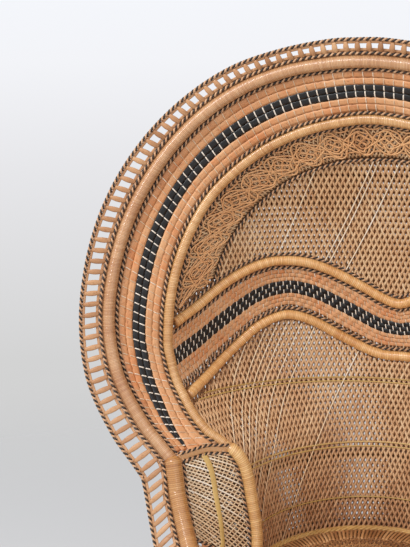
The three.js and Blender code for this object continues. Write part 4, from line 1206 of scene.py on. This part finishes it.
# ------------------------------------------------------------------ arms
for side_name, sx in (("left", 1), ("right", -1)):
    outer, inner, edge = rail(ARM_OUTER, sx), rail(ARM_INNER, sx), rail(ARM_EDGE, sx)
    w = Weave()
    bound_tube(w, longer(outer, 7.0, 3.0), ARM_OUTER_R, pitch=3.9, depth=0.75, dome=True, thin_end=3.4)
    w.build("arm_outer_bound_%s" % side_name, [arm_mat], ["arm_outer_post_" + side_name])
    w = Weave()
    bound_tube(w, longer(inner, 7.0, 0.0), ARM_INNER_R, pitch=3.9, depth=0.75, dome=True)
    w.build("arm_inner_bound_%s" % side_name, [arm_inner_lit_mat], ["arm_inner_post_" + side_name])
    # The border carries on from the hood's without a step.
    border_outer, border_edge = rail([(-355.5, -46.5, -317.5)] + ARM_OUTER[1:], sx), rail([(-400, -75, -358.5)] + ARM_EDGE[1:], sx)
    arm_border = Sheet(ribbon(border_outer, border_edge, lambda f: HOOD_OUTER_R + 1.2 + (ARM_OUTER_R - HOOD_OUTER_R) * np.clip(f / 0.10, 0, 1), 3.6))
    w = Weave()
    loops(w, arm_border, 21.4, 5.2, 1.0, mid=10.8, end=6.2, thick=3.0)
    strip_along(w, arm_border, 0.0, 9.6, 5.4, lift=-0.6, tone=0.55)
    strip_along(w, arm_border, 0.0, 1.6, 10.0, lift=-1.6, tone=0.3)
    strip_along(w, arm_border, 1.0, -2.6, 5.8, lift=-0.4, tone=0.55)
    w.build("arm_loop_weave_%s" % side_name, [loop_mat], ["arm_loop_border_" + side_name])
    w = Weave()
    for v, off, lift in ((0.0, 3.2, 0.6), (1.0, 3.4, 0.2)):
        P, N = arm_border.line(v, off, lift)
        braid(w, P, N)
    outer_upper, inner_foot = rail(ARM_OUTER[:5] + [(-301, -86, -459)], sx), rail(ARM_INNER + [(-212.5, 36, -551)], sx)
    panel = Sheet(ribbon(inner_foot, outer_upper, ARM_INNER_R + 0.4, ARM_OUTER_R + 0.4, 0.015, 1.0))
    for v, off in ((0.0, 3.4), (1.0, -3.4)):
        P, N = panel.line(v, off, 1.2)
        braid(w, P, N)
    w.build("arm_braids_%s" % side_name, [braid_blk, braid_nat])
    w = Weave()
    uu = np.linspace(0, 1, 300)
    mid = panel.at(uu, np.full_like(uu, 0.5))
    ml = np.concatenate([[0], np.cumsum(np.linalg.norm(np.diff(mid, axis=0), axis=1))])
    wide = float(np.mean(panel.width(uu)))
    length = float(ml[-1])
    # Cream diagonals in front, level strands in the middle and a dark crossed layer of painted shade behind.
    for family, gap, start, k, depth, wid, shade, mat in (
        (-1, 16.0, 0.0, 0.42, 1.7, 3.7, 1.08, 0), (-1, 16.0, 8.0, 0.42, 1.7, 2.6, 0.88, 0), (1, 11.6, 0.0, 1.0, 0.5, 3.1, 0.98, 0),
        (0, 9.0, 0.0, 0.0, -0.7, 2.2, 0.5, 0), (1, 7.6, 0.0, 0.7, -4.0, 4.6, 0.15, 1), (-1, 7.6, 0.0, 0.7, -5.3, 4.6, 0.15, 1),
        (1, 9.6, 0.0, 0.7, -6.6, 4.4, 0.45, 0), (-1, 9.6, 0.0, 0.7, -7.7, 4.4, 0.5, 0),
    ):
        for x0 in np.arange(-wide + start, length + wide, gap):
            y = np.linspace(0.02, 0.98, 17)
            xs = x0 + family * (y - 0.5) * wide * k
            ok = (xs > 0.5) & (xs < length - 0.5)
            if ok.sum() < 4:
                continue
            u = np.interp(xs[ok], ml, uu)
            N = panel.normal(u, y[ok])
            P = panel.at(u, y[ok]) + N * depth
            A, B = frames(P, N)
            w.strands(P[None], A[None], B[None], flat(wid, 1.1, 6), tone=float(np.clip(rng.normal(shade, 0.08), 0, 1.3)), mat=mat)
    w.build("arm_panel_weave_%s" % side_name, [strand_mat, shade_under_mat], ["arm_panel_inner_" + side_name, "arm_panel_outer_" + side_name])
    w = Weave()
    u = np.linspace(0.0, 1.0, 40)
    N = panel.normal(u, np.full(40, 0.5))
    P = panel.at(u, np.full(40, 0.5)) + N * 2.6
    A, B = frames(P, N)
    rib_half = np.interp(u, [0, 0.3, 1], [6.2, 5.6, 4.8])
    sec = flat(2.0, 1.0, 10, 3.0)[None] * np.stack([rib_half, np.full(40, 2.0)], -1)[:, None, :]
    w.strands(P[None], A[None], B[None], sec[None], tone=0.6)
    w.build("arm_flat_rib_%s" % side_name, [flat_mat], ["arm_rib_" + side_name])
    # The flat arch between the heads of the posts, with a braid over and under it.
    bridge = Path(spline([(x * sx, y, z) for x, y, z in ((-337, -40, -322), (-327, -28, -320), (-300, 12, -315.5), (-277, 38, -319.5), (-269, 49, -321))]))
    f = np.linspace(0, 1, 30)
    P, T = bridge.at(f), bridge.tangent(f)
    N = unit(np.cross(T, UP))
    N = N * (1 if N[0, 1] < 0 else -1)
    A, B = frames(P, N)
    w = Weave()
    w.strands(P[None], A[None], B[None], flat(11.5, 3.6, 12, 3.4), tone=0.45)
    w.strands(P[None] - N[None] * 2.8, A[None], B[None], flat(21.0, 1.8, 10, 3.4), tone=0.2)
    w.build("neck_bridge_arch_%s" % side_name, [bridge_mat], ["neck_bridge_" + side_name])
    w = Weave()
    braid(w, P + UP * 8.6 + N * 1.6, N)
    braid(w, P - UP * 8.8 + N * 1.6, N, helix=2.1, radius=2.3)
    w.build("neck_braids_%s" % side_name, [braid_blk, braid_nat])

# ------------------------------------------------------------------ seat
t = np.linspace(0, 2 * np.pi, 721)[:-1]
seat_ring = np.stack([SEAT[0] * np.cos(t), SEAT[2] + SEAT[1] * np.sin(t), np.full_like(t, SEAT[3])], -1)
w = Weave()
for j in range(7):
    braid(w, seat_ring, np.broadcast_to(UP, seat_ring.shape), pitch=92.0, helix=6.0, radius=3.0, mats=(0,), closed=True, phase=2 * np.pi * j / 7, sides=8, per=24)
w.build("seat_ring_rope", [rope_mat], ["seat_ring"])


def seat_at(u, v):
    """u round the seat, v from near the middle out to the ring."""
    r = 0.05 + 0.95 * v
    a = 2 * np.pi * u
    return np.stack([(SEAT[0] - 7.6) * r * np.cos(a), SEAT[2] + (SEAT[1] - 7.6) * r * np.sin(a), SEAT[3] + 1 - 8 * (1 - r * r) + 0 * a], -1)


seat_sheet = Sheet(seat_at, facing=(0, 0, 1), ring=True)
w = Weave()
spokes = 120
rings = 26
for j in range(rings):
    v0, v1 = j / rings, (j + 1) / rings
    n = spokes * 4
    u = np.arange(n) / n
    every = 1 if j > 12 else (2 if j > 5 else 4)
    v = np.full(n, (v0 + v1) / 2)
    N = seat_sheet.normal(u, v)
    P = seat_sheet.at(u, v) + N * (1.3 * np.cos(np.pi * (u * spokes / every + j)))[:, None]
    T = unit(np.roll(P, -1, 0) - np.roll(P, 1, 0))
    B = unit(N - np.sum(N * T, -1, keepdims=True) * T)
    A = np.cross(B, T)
    half = np.linalg.norm(seat_sheet.at(u, np.full(n, v1)) - seat_sheet.at(u, np.full(n, v0)), axis=-1) / 2 * 0.74
    sec = flat(2.0, 1.0, 6, 2.8)[None] * np.stack([half, np.full(n, 1.5)], -1)[:, None, :]
    w.strands(P[None], A[None], B[None], sec[None], tone=float(rng.uniform(0.1, 0.55)), closed=True)
w.build("seat_weave", [seat_mat], ["seat_panel"])
w = Weave()
for i in range(spokes):
    start = 0.0 if i % 4 == 0 else (0.22 if i % 2 == 0 else 0.5)
    v = np.linspace(start, 1.0, 45)
    u = np.full_like(v, i / spokes)
    N = seat_sheet.normal(u, v)
    P = seat_sheet.at(u, v) - N * (1.2 * np.cos(np.pi * (i + v * rings - 0.5)))[:, None]
    A, B = frames(P, N)
    w.strands(P[None], A[None], B[None], flat(3.2, 1.5, 6), tone=float(np.clip(rng.normal(0.85, 0.2), 0, 1.2)))
# A dark layer of painted shade under the rings, and a row of flat radial strokes from the seat's ring inward.
for j in range(4, rings + 1):
    n = 160
    u = np.arange(n) / n
    v = np.full(n, min(0.995, j / rings))
    N = seat_sheet.normal(u, v)
    P = seat_sheet.at(u, v) - N * 3.6
    T = unit(np.roll(P, -1, 0) - np.roll(P, 1, 0))
    B = unit(N - np.sum(N * T, -1, keepdims=True) * T)
    half = np.linalg.norm(seat_sheet.at(u, v) - seat_sheet.at(u, v - 1 / rings), axis=-1) / 2 * 0.98
    sec = flat(2.0, 1.0, 6, 2.8)[None] * np.stack([half, np.full(n, 1.0)], -1)[:, None, :]
    w.strands(P[None], np.cross(B, T)[None], B[None], sec[None], tone=0.5, mat=1, closed=True)
for i in range(144):
    v = np.linspace(0.80 + rng.uniform(-0.02, 0.02), 0.992, 10)
    u = i / 144 + 0.004 * (1.0 - v) / 0.2
    N = seat_sheet.normal(u, v)
    P = seat_sheet.at(u, v) + N * (1.2 + 2.0 * np.sqrt(np.maximum(0.0, np.sin(np.pi * (v - v[0]) / (v[-1] - v[0])))))[:, None]
    A, B = frames(P, N)
    w.strands(P[None], A[None], B[None], flat(5.6, 1.6, 6, 3.0), tone=float(np.clip(rng.normal(0.8, 0.25), 0, 1.2)))
# The small knot of turns in the middle.
for j, r in enumerate((10.5, 7.0, 3.6)):
    a = np.linspace(0, 2 * np.pi, 41)[:-1]
    P = np.stack([r * np.cos(a) * 0.93, SEAT[2] + r * np.sin(a) * 1.05, np.full_like(a, SEAT[3] - 5.6 + 0.5 * j)], -1)
    T = unit(np.roll(P, -1, 0) - np.roll(P, 1, 0))
    w.strands(P[None], np.cross(UP, T)[None], np.broadcast_to(UP, P.shape)[None], flat(3.6, 1.8, 8), tone=0.5, closed=True)
w.build("seat_spokes", [seat_mat, shade_under_mat])

front_outer, front_edge = rail(mirrored(FRONT_OUTER[::-1])), rail(mirrored(FRONT_EDGE[::-1]))
w = Weave()
bound_tube(w, longer(front_outer, 3.0), FRONT_RAIL_R, pitch=3.4)
w.build("seat_front_bound_rail", [arm_mat], ["seat_front_rail"])
front_band = Sheet(ribbon(rail(mirrored(COLLAR_INNER[::-1])), rail(mirrored(COLLAR_OUTER[::-1])), SEAT_RING_R + 1.0, ARM_OUTER_R + 1.2, 0.0, 1.0), facing=(0, 0, 1))
w = Weave()
edges = np.linspace(0.12, 0.88, 6)
woven(w, front_band, [(edges[i], edges[i + 1], 1 if i == 2 else 0, 0.5, 0.0, 1.0) for i in range(5)], 58, amp=1.2, thick=1.4, v0=0.02, v1=0.98)
# Plain strips behind the braids close the weave's two edges, and a short one the corner at each post's foot.
strip_along(w, front_band, 0.0, 1.6, 15.0, lift=-1.6, tone=0.35)
strip_along(w, front_band, 1.0, -1.6, 15.0, lift=-1.6, tone=0.35)
for sx in (-1, 1):
    a = np.radians(np.linspace(-24.0, 2.0, 12))
    P = np.stack([sx * (SEAT[0] + 8.0) * np.cos(a), SEAT[2] + (SEAT[1] + 8.0) * np.sin(a), np.full_like(a, SEAT[3] - 1.5)], -1)
    A, B = frames(P, np.broadcast_to(UP, P.shape))
    w.strands(P[None], A[None], B[None], flat(15.0, 2.0, 8, 3.2), tone=0.35)
w.build("seat_front_weave", [peel_mat, black_mat, pale_mat], ["seat_front_band"])
w = Weave()
for v, off in ((1.0, -3.2), (0.0, 3.2)):
    P, N = front_band.line(v, off, 1.2)
    braid(w, P, N)
for u in (0.004, 0.996):
    v = np.linspace(0.02, 0.98, 80)
    N = front_band.normal(np.full(80, u), v)
    braid(w, front_band.at(np.full(80, u), v) + N * 1.8, N)
front_border = Sheet(ribbon(front_outer, front_edge, FRONT_RAIL_R + 1.2, 3.6))
for v, off, lift in ((0.0, 3.2, 0.6), (1.0, 3.4, 0.2)):
    P, N = front_border.line(v, off, lift)
    more = 5.0 - 1.5 * v
    P[0] += unit(P[0] - P[1]) * more
    P[-1] += unit(P[-1] - P[-2]) * more
    braid(w, P, N)
w.build("seat_front_braids", [braid_blk, braid_nat])
w = Weave()
loops(w, front_border, 21.4, 5.2, 1.0, mid=10.8, end=6.2, thick=3.0)
strip_along(w, front_border, 0.0, 9.6, 5.4, lift=-0.6, tone=0.55)
strip_along(w, front_border, 0.0, 1.6, 10.0, lift=-1.6, tone=0.3)
strip_along(w, front_border, 1.0, -2.6, 5.8, lift=-0.4, tone=0.55)
w.build("seat_front_loop_weave", [loop_mat], ["seat_front_loop_border"])
for name, y in (("front", 0.0), ("rear", 160.0)):
    reach = 184 * math.sqrt(1 - ((y - SEAT[2]) / 240) ** 2) - 4
    w = Weave()
    cane_pole(w, np.stack([np.linspace(-reach, reach, 60), np.full(60, y), np.full(60, -582.0)], -1), 8.0, tone=0.5)
    w.build("under_seat_pole_%s" % name, [pole_mat], ["seat_pole_" + name])


# ------------------------------------------------------------------ pedestal
def skirt_sheet(low, high):
    return Sheet(lambda u, v: skirt(2 * np.pi * u, low + (high - low) * v), facing=lambda p: np.array([p[0], p[1] - 75.0, 0.0]), ring=True)


def ring_rows(w, sheet, rows, stakes, amp=1.3, thick=1.5, per=6):
    """The same over-and-under weave on a closed band; an even number of stakes lets every row close on itself."""
    n = stakes * per
    u = np.arange(n) / n
    for j, (a, b, mat, tone) in enumerate(rows):
        v = np.full(n, (a + b) / 2)
        N = sheet.normal(u, v)
        P = sheet.at(u, v) + N * (amp * np.cos(np.pi * (u * stakes + j)))[:, None]
        T = unit(np.roll(P, -1, 0) - np.roll(P, 1, 0))
        B = unit(N - np.sum(N * T, -1, keepdims=True) * T)
        half = np.linalg.norm(sheet.at(u, np.full(n, b)) - sheet.at(u, np.full(n, a)), axis=-1) / 2 * 0.93
        sec = flat(2.0, 1.0, 8, 3.2)[None] * np.stack([half, np.full(n, thick)], -1)[:, None, :]
        t = np.clip(tone + 0.08 * np.sin(u * 2 * np.pi * 3 + j * 2.1), 0, 1)
        w.strands(P[None], np.cross(B, T)[None], B[None], sec[None], tone=t[None], mat=mat, closed=True)
    m = len(rows) * 4 + 1
    q = np.linspace(0.01, 0.99, m)
    U = np.repeat((np.arange(stakes) / stakes)[:, None], m, 1)
    V = np.repeat(q[None], stakes, 0)
    centre = [(r[0] + r[1]) / 2 for r in rows]
    index = np.interp(q, centre, np.arange(len(rows)), left=-0.5, right=len(rows) - 0.5)
    N = sheet.normal(U, V)
    P = sheet.at(U, V) - N * (amp * np.cos(np.pi * (np.arange(stakes)[:, None] + index[None])))[..., None]
    A, B = frames(P, N)
    w.strands(P, A, B, flat(2.8, 1.3, 6), tone=np.clip(rng.normal(0.5, 0.16, stakes), 0, 1), mat=2)


def ring_braid(w, sheet, v, off=0.0, lift=1.2):
    u = np.arange(720) / 720.0
    vv = np.full(720, float(v))
    N = sheet.normal(u, vv)
    P = sheet.at(u, vv) + sheet.across(u, vv) * off + N * lift
    braid(w, P, N, closed=True, phase=rng.uniform(0, 6))


def ring_lattice(w, low, high, count=104, slope=0.445, lift=1.3, width=4.4):
    sheet_mean = 2 * np.pi * math.sqrt((float(skirt_x((low + high) / 2)) ** 2 + float(skirt_y((low + high) / 2)) ** 2) / 2)
    n = max(6, int((high - low) / 6.0))
    z = np.linspace(low, high, n)
    for family in (1, -1):
        for i in range(count):
            a = 2 * np.pi * ((i + (0.5 if family < 0 else 0)) / count + family * slope * (z - (low + high) / 2) / sheet_mean)
            p1, p0 = skirt(a + 0.01, z), skirt(a - 0.01, z)
            q1, q0 = skirt(a, z + 2), skirt(a, z - 2)
            N = unit(np.cross(p1 - p0, q1 - q0))
            P = skirt(a, z) + N * (lift * family)
            A, B = frames(P, N)
            tone = float(np.clip(rng.normal(0.5, 0.14), 0, 0.86)) if rng.random() > 0.05 else 0.95
            w.strands(P[None], A[None], B[None], flat(width, 1.4, 6), tone=tone)


top_band, bottom_band = skirt_sheet(-615, -566), skirt_sheet(-951, -880.6)
w = Weave()
e = np.linspace(0.16, 0.84, 4)
ring_rows(w, top_band, [(e[i], e[i + 1], 1 if i == 1 else 0, 0.5) for i in range(3)], 70)
w.build("pedestal_top_weave", [peel_mat, black_mat, pale_mat], ["pedestal_top_band"])
w = Weave()
e = np.linspace(0.13, 0.87, 6)
ring_rows(w, bottom_band, [(e[i], e[i + 1], 1 if i in (2,) else 0, 0.5) for i in range(5)], 76)
w.build("pedestal_bottom_weave", [peel_mat, black_mat, pale_mat], ["pedestal_bottom_band"])
w = Weave()
ring_braid(w, top_band, 0.0, 4.0)
ring_braid(w, top_band, 1.0, -4.0)
ring_braid(w, bottom_band, 0.0, 4.6)
ring_braid(w, bottom_band, 1.0, -4.6)
w.build("pedestal_braids", [braid_blk, braid_nat])
w = Weave()
ring_lattice(w, -751, -613)
w.build("pedestal_upper_strands", [strand_mat], ["pedestal_upper_lattice"])
w = Weave()
ring_lattice(w, -883, -768)
w.build("pedestal_lower_strands", [strand_mat], ["pedestal_lower_lattice"])
waist = skirt(t, np.full_like(t, -760.0))
w = Weave()
bound_tube(w, waist, WAIST_RING_R, back=-UP, closed=True, sides=12)
w.build("waist_ring_bound", [bound_mat], ["waist_ring"])
hoop = np.stack([BASE_HOOP[0] * np.cos(t), BASE_HOOP[2] + BASE_HOOP[1] * np.sin(t), np.full_like(t, BASE_HOOP[3])], -1)
w = Weave()
bound_tube(w, hoop, BASE_HOOP_R, back=-UP, closed=True, sides=12, pitch=3.2)
w.build("base_hoop_bound", [bound_mat], ["base_hoop"])
for k in range(6):
    a = math.pi / 3 * k + math.pi / 6
    z = -592 - 343 * np.arange(8) / 7.0
    w = Weave()
    cane_pole(w, spline(skirt(np.full(8, a), z, 19.0)), 6.0, back=np.array([math.cos(a), math.sin(a), 0.0]))
    w.build("inner_post_%d" % (k + 1), [pole_mat], ["base_post_%d" % (k + 1)])

# ------------------------------------------------------------------ floor, light and camera
m, nodes, links = material("floor")
coord = nodes.new("ShaderNodeTexCoord")
length = nodes.new("ShaderNodeVectorMath")
length.operation = "LENGTH"
links.new(coord.outputs["Object"], length.inputs[0])
fade = nodes.new("ShaderNodeMapRange")
fade.interpolation_type = "SMOOTHSTEP"
fade.inputs["From Min"].default_value, fade.inputs["From Max"].default_value = 1.3, 3.6
links.new(length.outputs["Value"], fade.inputs["Value"])
diffuse = nodes.new("ShaderNodeBsdfDiffuse")
diffuse.inputs["Color"].default_value = (0.60, 0.595, 0.585, 1)
clear = nodes.new("ShaderNodeBsdfTransparent")
mixer = nodes.new("ShaderNodeMixShader")
links.new(fade.outputs[0], mixer.inputs[0])
links.new(diffuse.outputs[0], mixer.inputs[1])
links.new(clear.outputs[0], mixer.inputs[2])
out = nodes.new("ShaderNodeOutputMaterial")
links.new(mixer.outputs[0], out.inputs[0])
floor_mesh = bpy.data.meshes.new("floor")
a = np.linspace(0, 2 * np.pi, 97)[:-1]
floor_mesh.from_pydata([(4 * math.cos(x), 4 * math.sin(x), 0.0) for x in a], [], [list(range(96))])
floor_mesh.materials.append(m)
floor = bpy.data.objects.new("floor", floor_mesh)
bpy.context.scene.collection.objects.link(floor)

world = bpy.data.worlds.new("studio")
bpy.context.scene.world = world
world.use_nodes = True
wn, wl = world.node_tree.nodes, world.node_tree.links
wn.clear()
wc = wn.new("ShaderNodeTexCoord")
ws = wn.new("ShaderNodeSeparateXYZ")
wl.new(wc.outputs["Generated"], ws.inputs[0])
wr = wn.new("ShaderNodeMapRange")
wr.inputs["From Min"].default_value, wr.inputs["From Max"].default_value = -0.34, 0.06
wl.new(ws.outputs[2], wr.inputs["Value"])
wramp = wn.new("ShaderNodeValToRGB")
wramp.color_ramp.elements[0].position, wramp.color_ramp.elements[0].color = 0.0, srgb(205, 205, 205)
wramp.color_ramp.elements[1].position, wramp.color_ramp.elements[1].color = 1.0, srgb(245, 247, 252)
for pos, col in ((0.3, (211, 211, 211)), (0.66, (231, 231, 234)), (0.86, (243, 244, 248))):
    el = wramp.color_ramp.elements.new(pos)
    el.color = srgb(*col)
wl.new(wr.outputs[0], wramp.inputs[0])
wb = wn.new("ShaderNodeBackground")
wb.inputs["Strength"].default_value = 1.0
wl.new(wramp.outputs[0], wb.inputs["Color"])
wo = wn.new("ShaderNodeOutputWorld")
wl.new(wb.outputs[0], wo.inputs[0])


def area(name, place, target, size, power, colour=(1, 1, 1)):
    lamp = bpy.data.lights.new(name, "AREA")
    lamp.shape, lamp.size, lamp.energy, lamp.color = "DISK", size, power, colour
    ob = bpy.data.objects.new(name, lamp)
    bpy.context.scene.collection.objects.link(ob)
    p, q = np.array(place, float), np.array(target, float)
    z = unit(p - q)
    x = unit(np.cross(UP, z))
    y = np.cross(z, x)
    ob.matrix_world = Matrix([[x[0], y[0], z[0], p[0]], [x[1], y[1], z[1], p[1]], [x[2], y[2], z[2], p[2]], [0, 0, 0, 1]])


area("key_light", (-1.1, -1.6, 2.3), (-0.1, 0.0, 1.0), 0.45, 28)
area("fill_light", (1.6, -3.2, 2.1), (0.0, 0.2, 0.9), 1.6, 17)

# The camera stands where the photograph was taken from.
yaw, pitch, roll, focal = 0.4073, -0.1591, -0.0131, 1300.0
f0 = np.array([-math.sin(yaw), math.cos(yaw), 0])
r0 = np.array([math.cos(yaw), math.sin(yaw), 0])
fw = f0 * math.cos(pitch) + UP * math.sin(pitch)
up = UP * math.cos(pitch) - f0 * math.sin(pitch)
right = r0 * math.cos(roll) + up * math.sin(roll)
up = up * math.cos(roll) - r0 * math.sin(roll)
place = (0.6879, -2.3239, 1.4126)
cam = bpy.data.cameras.new("camera")
cam.sensor_width, cam.lens = 36.0, 36.0 * focal / 547.0
cam.clip_start, cam.clip_end = 0.05, 60.0
cam_ob = bpy.data.objects.new("camera", cam)
bpy.context.scene.collection.objects.link(cam_ob)
cam_ob.matrix_world = Matrix([[right[i], up[i], -fw[i], place[i]] for i in range(3)] + [[0, 0, 0, 1]])
bpy.context.scene.camera = cam_ob
view = bpy.context.scene.view_settings
view.view_transform, view.look, view.exposure, view.gamma = "Standard", "None", 0.0, 1.0
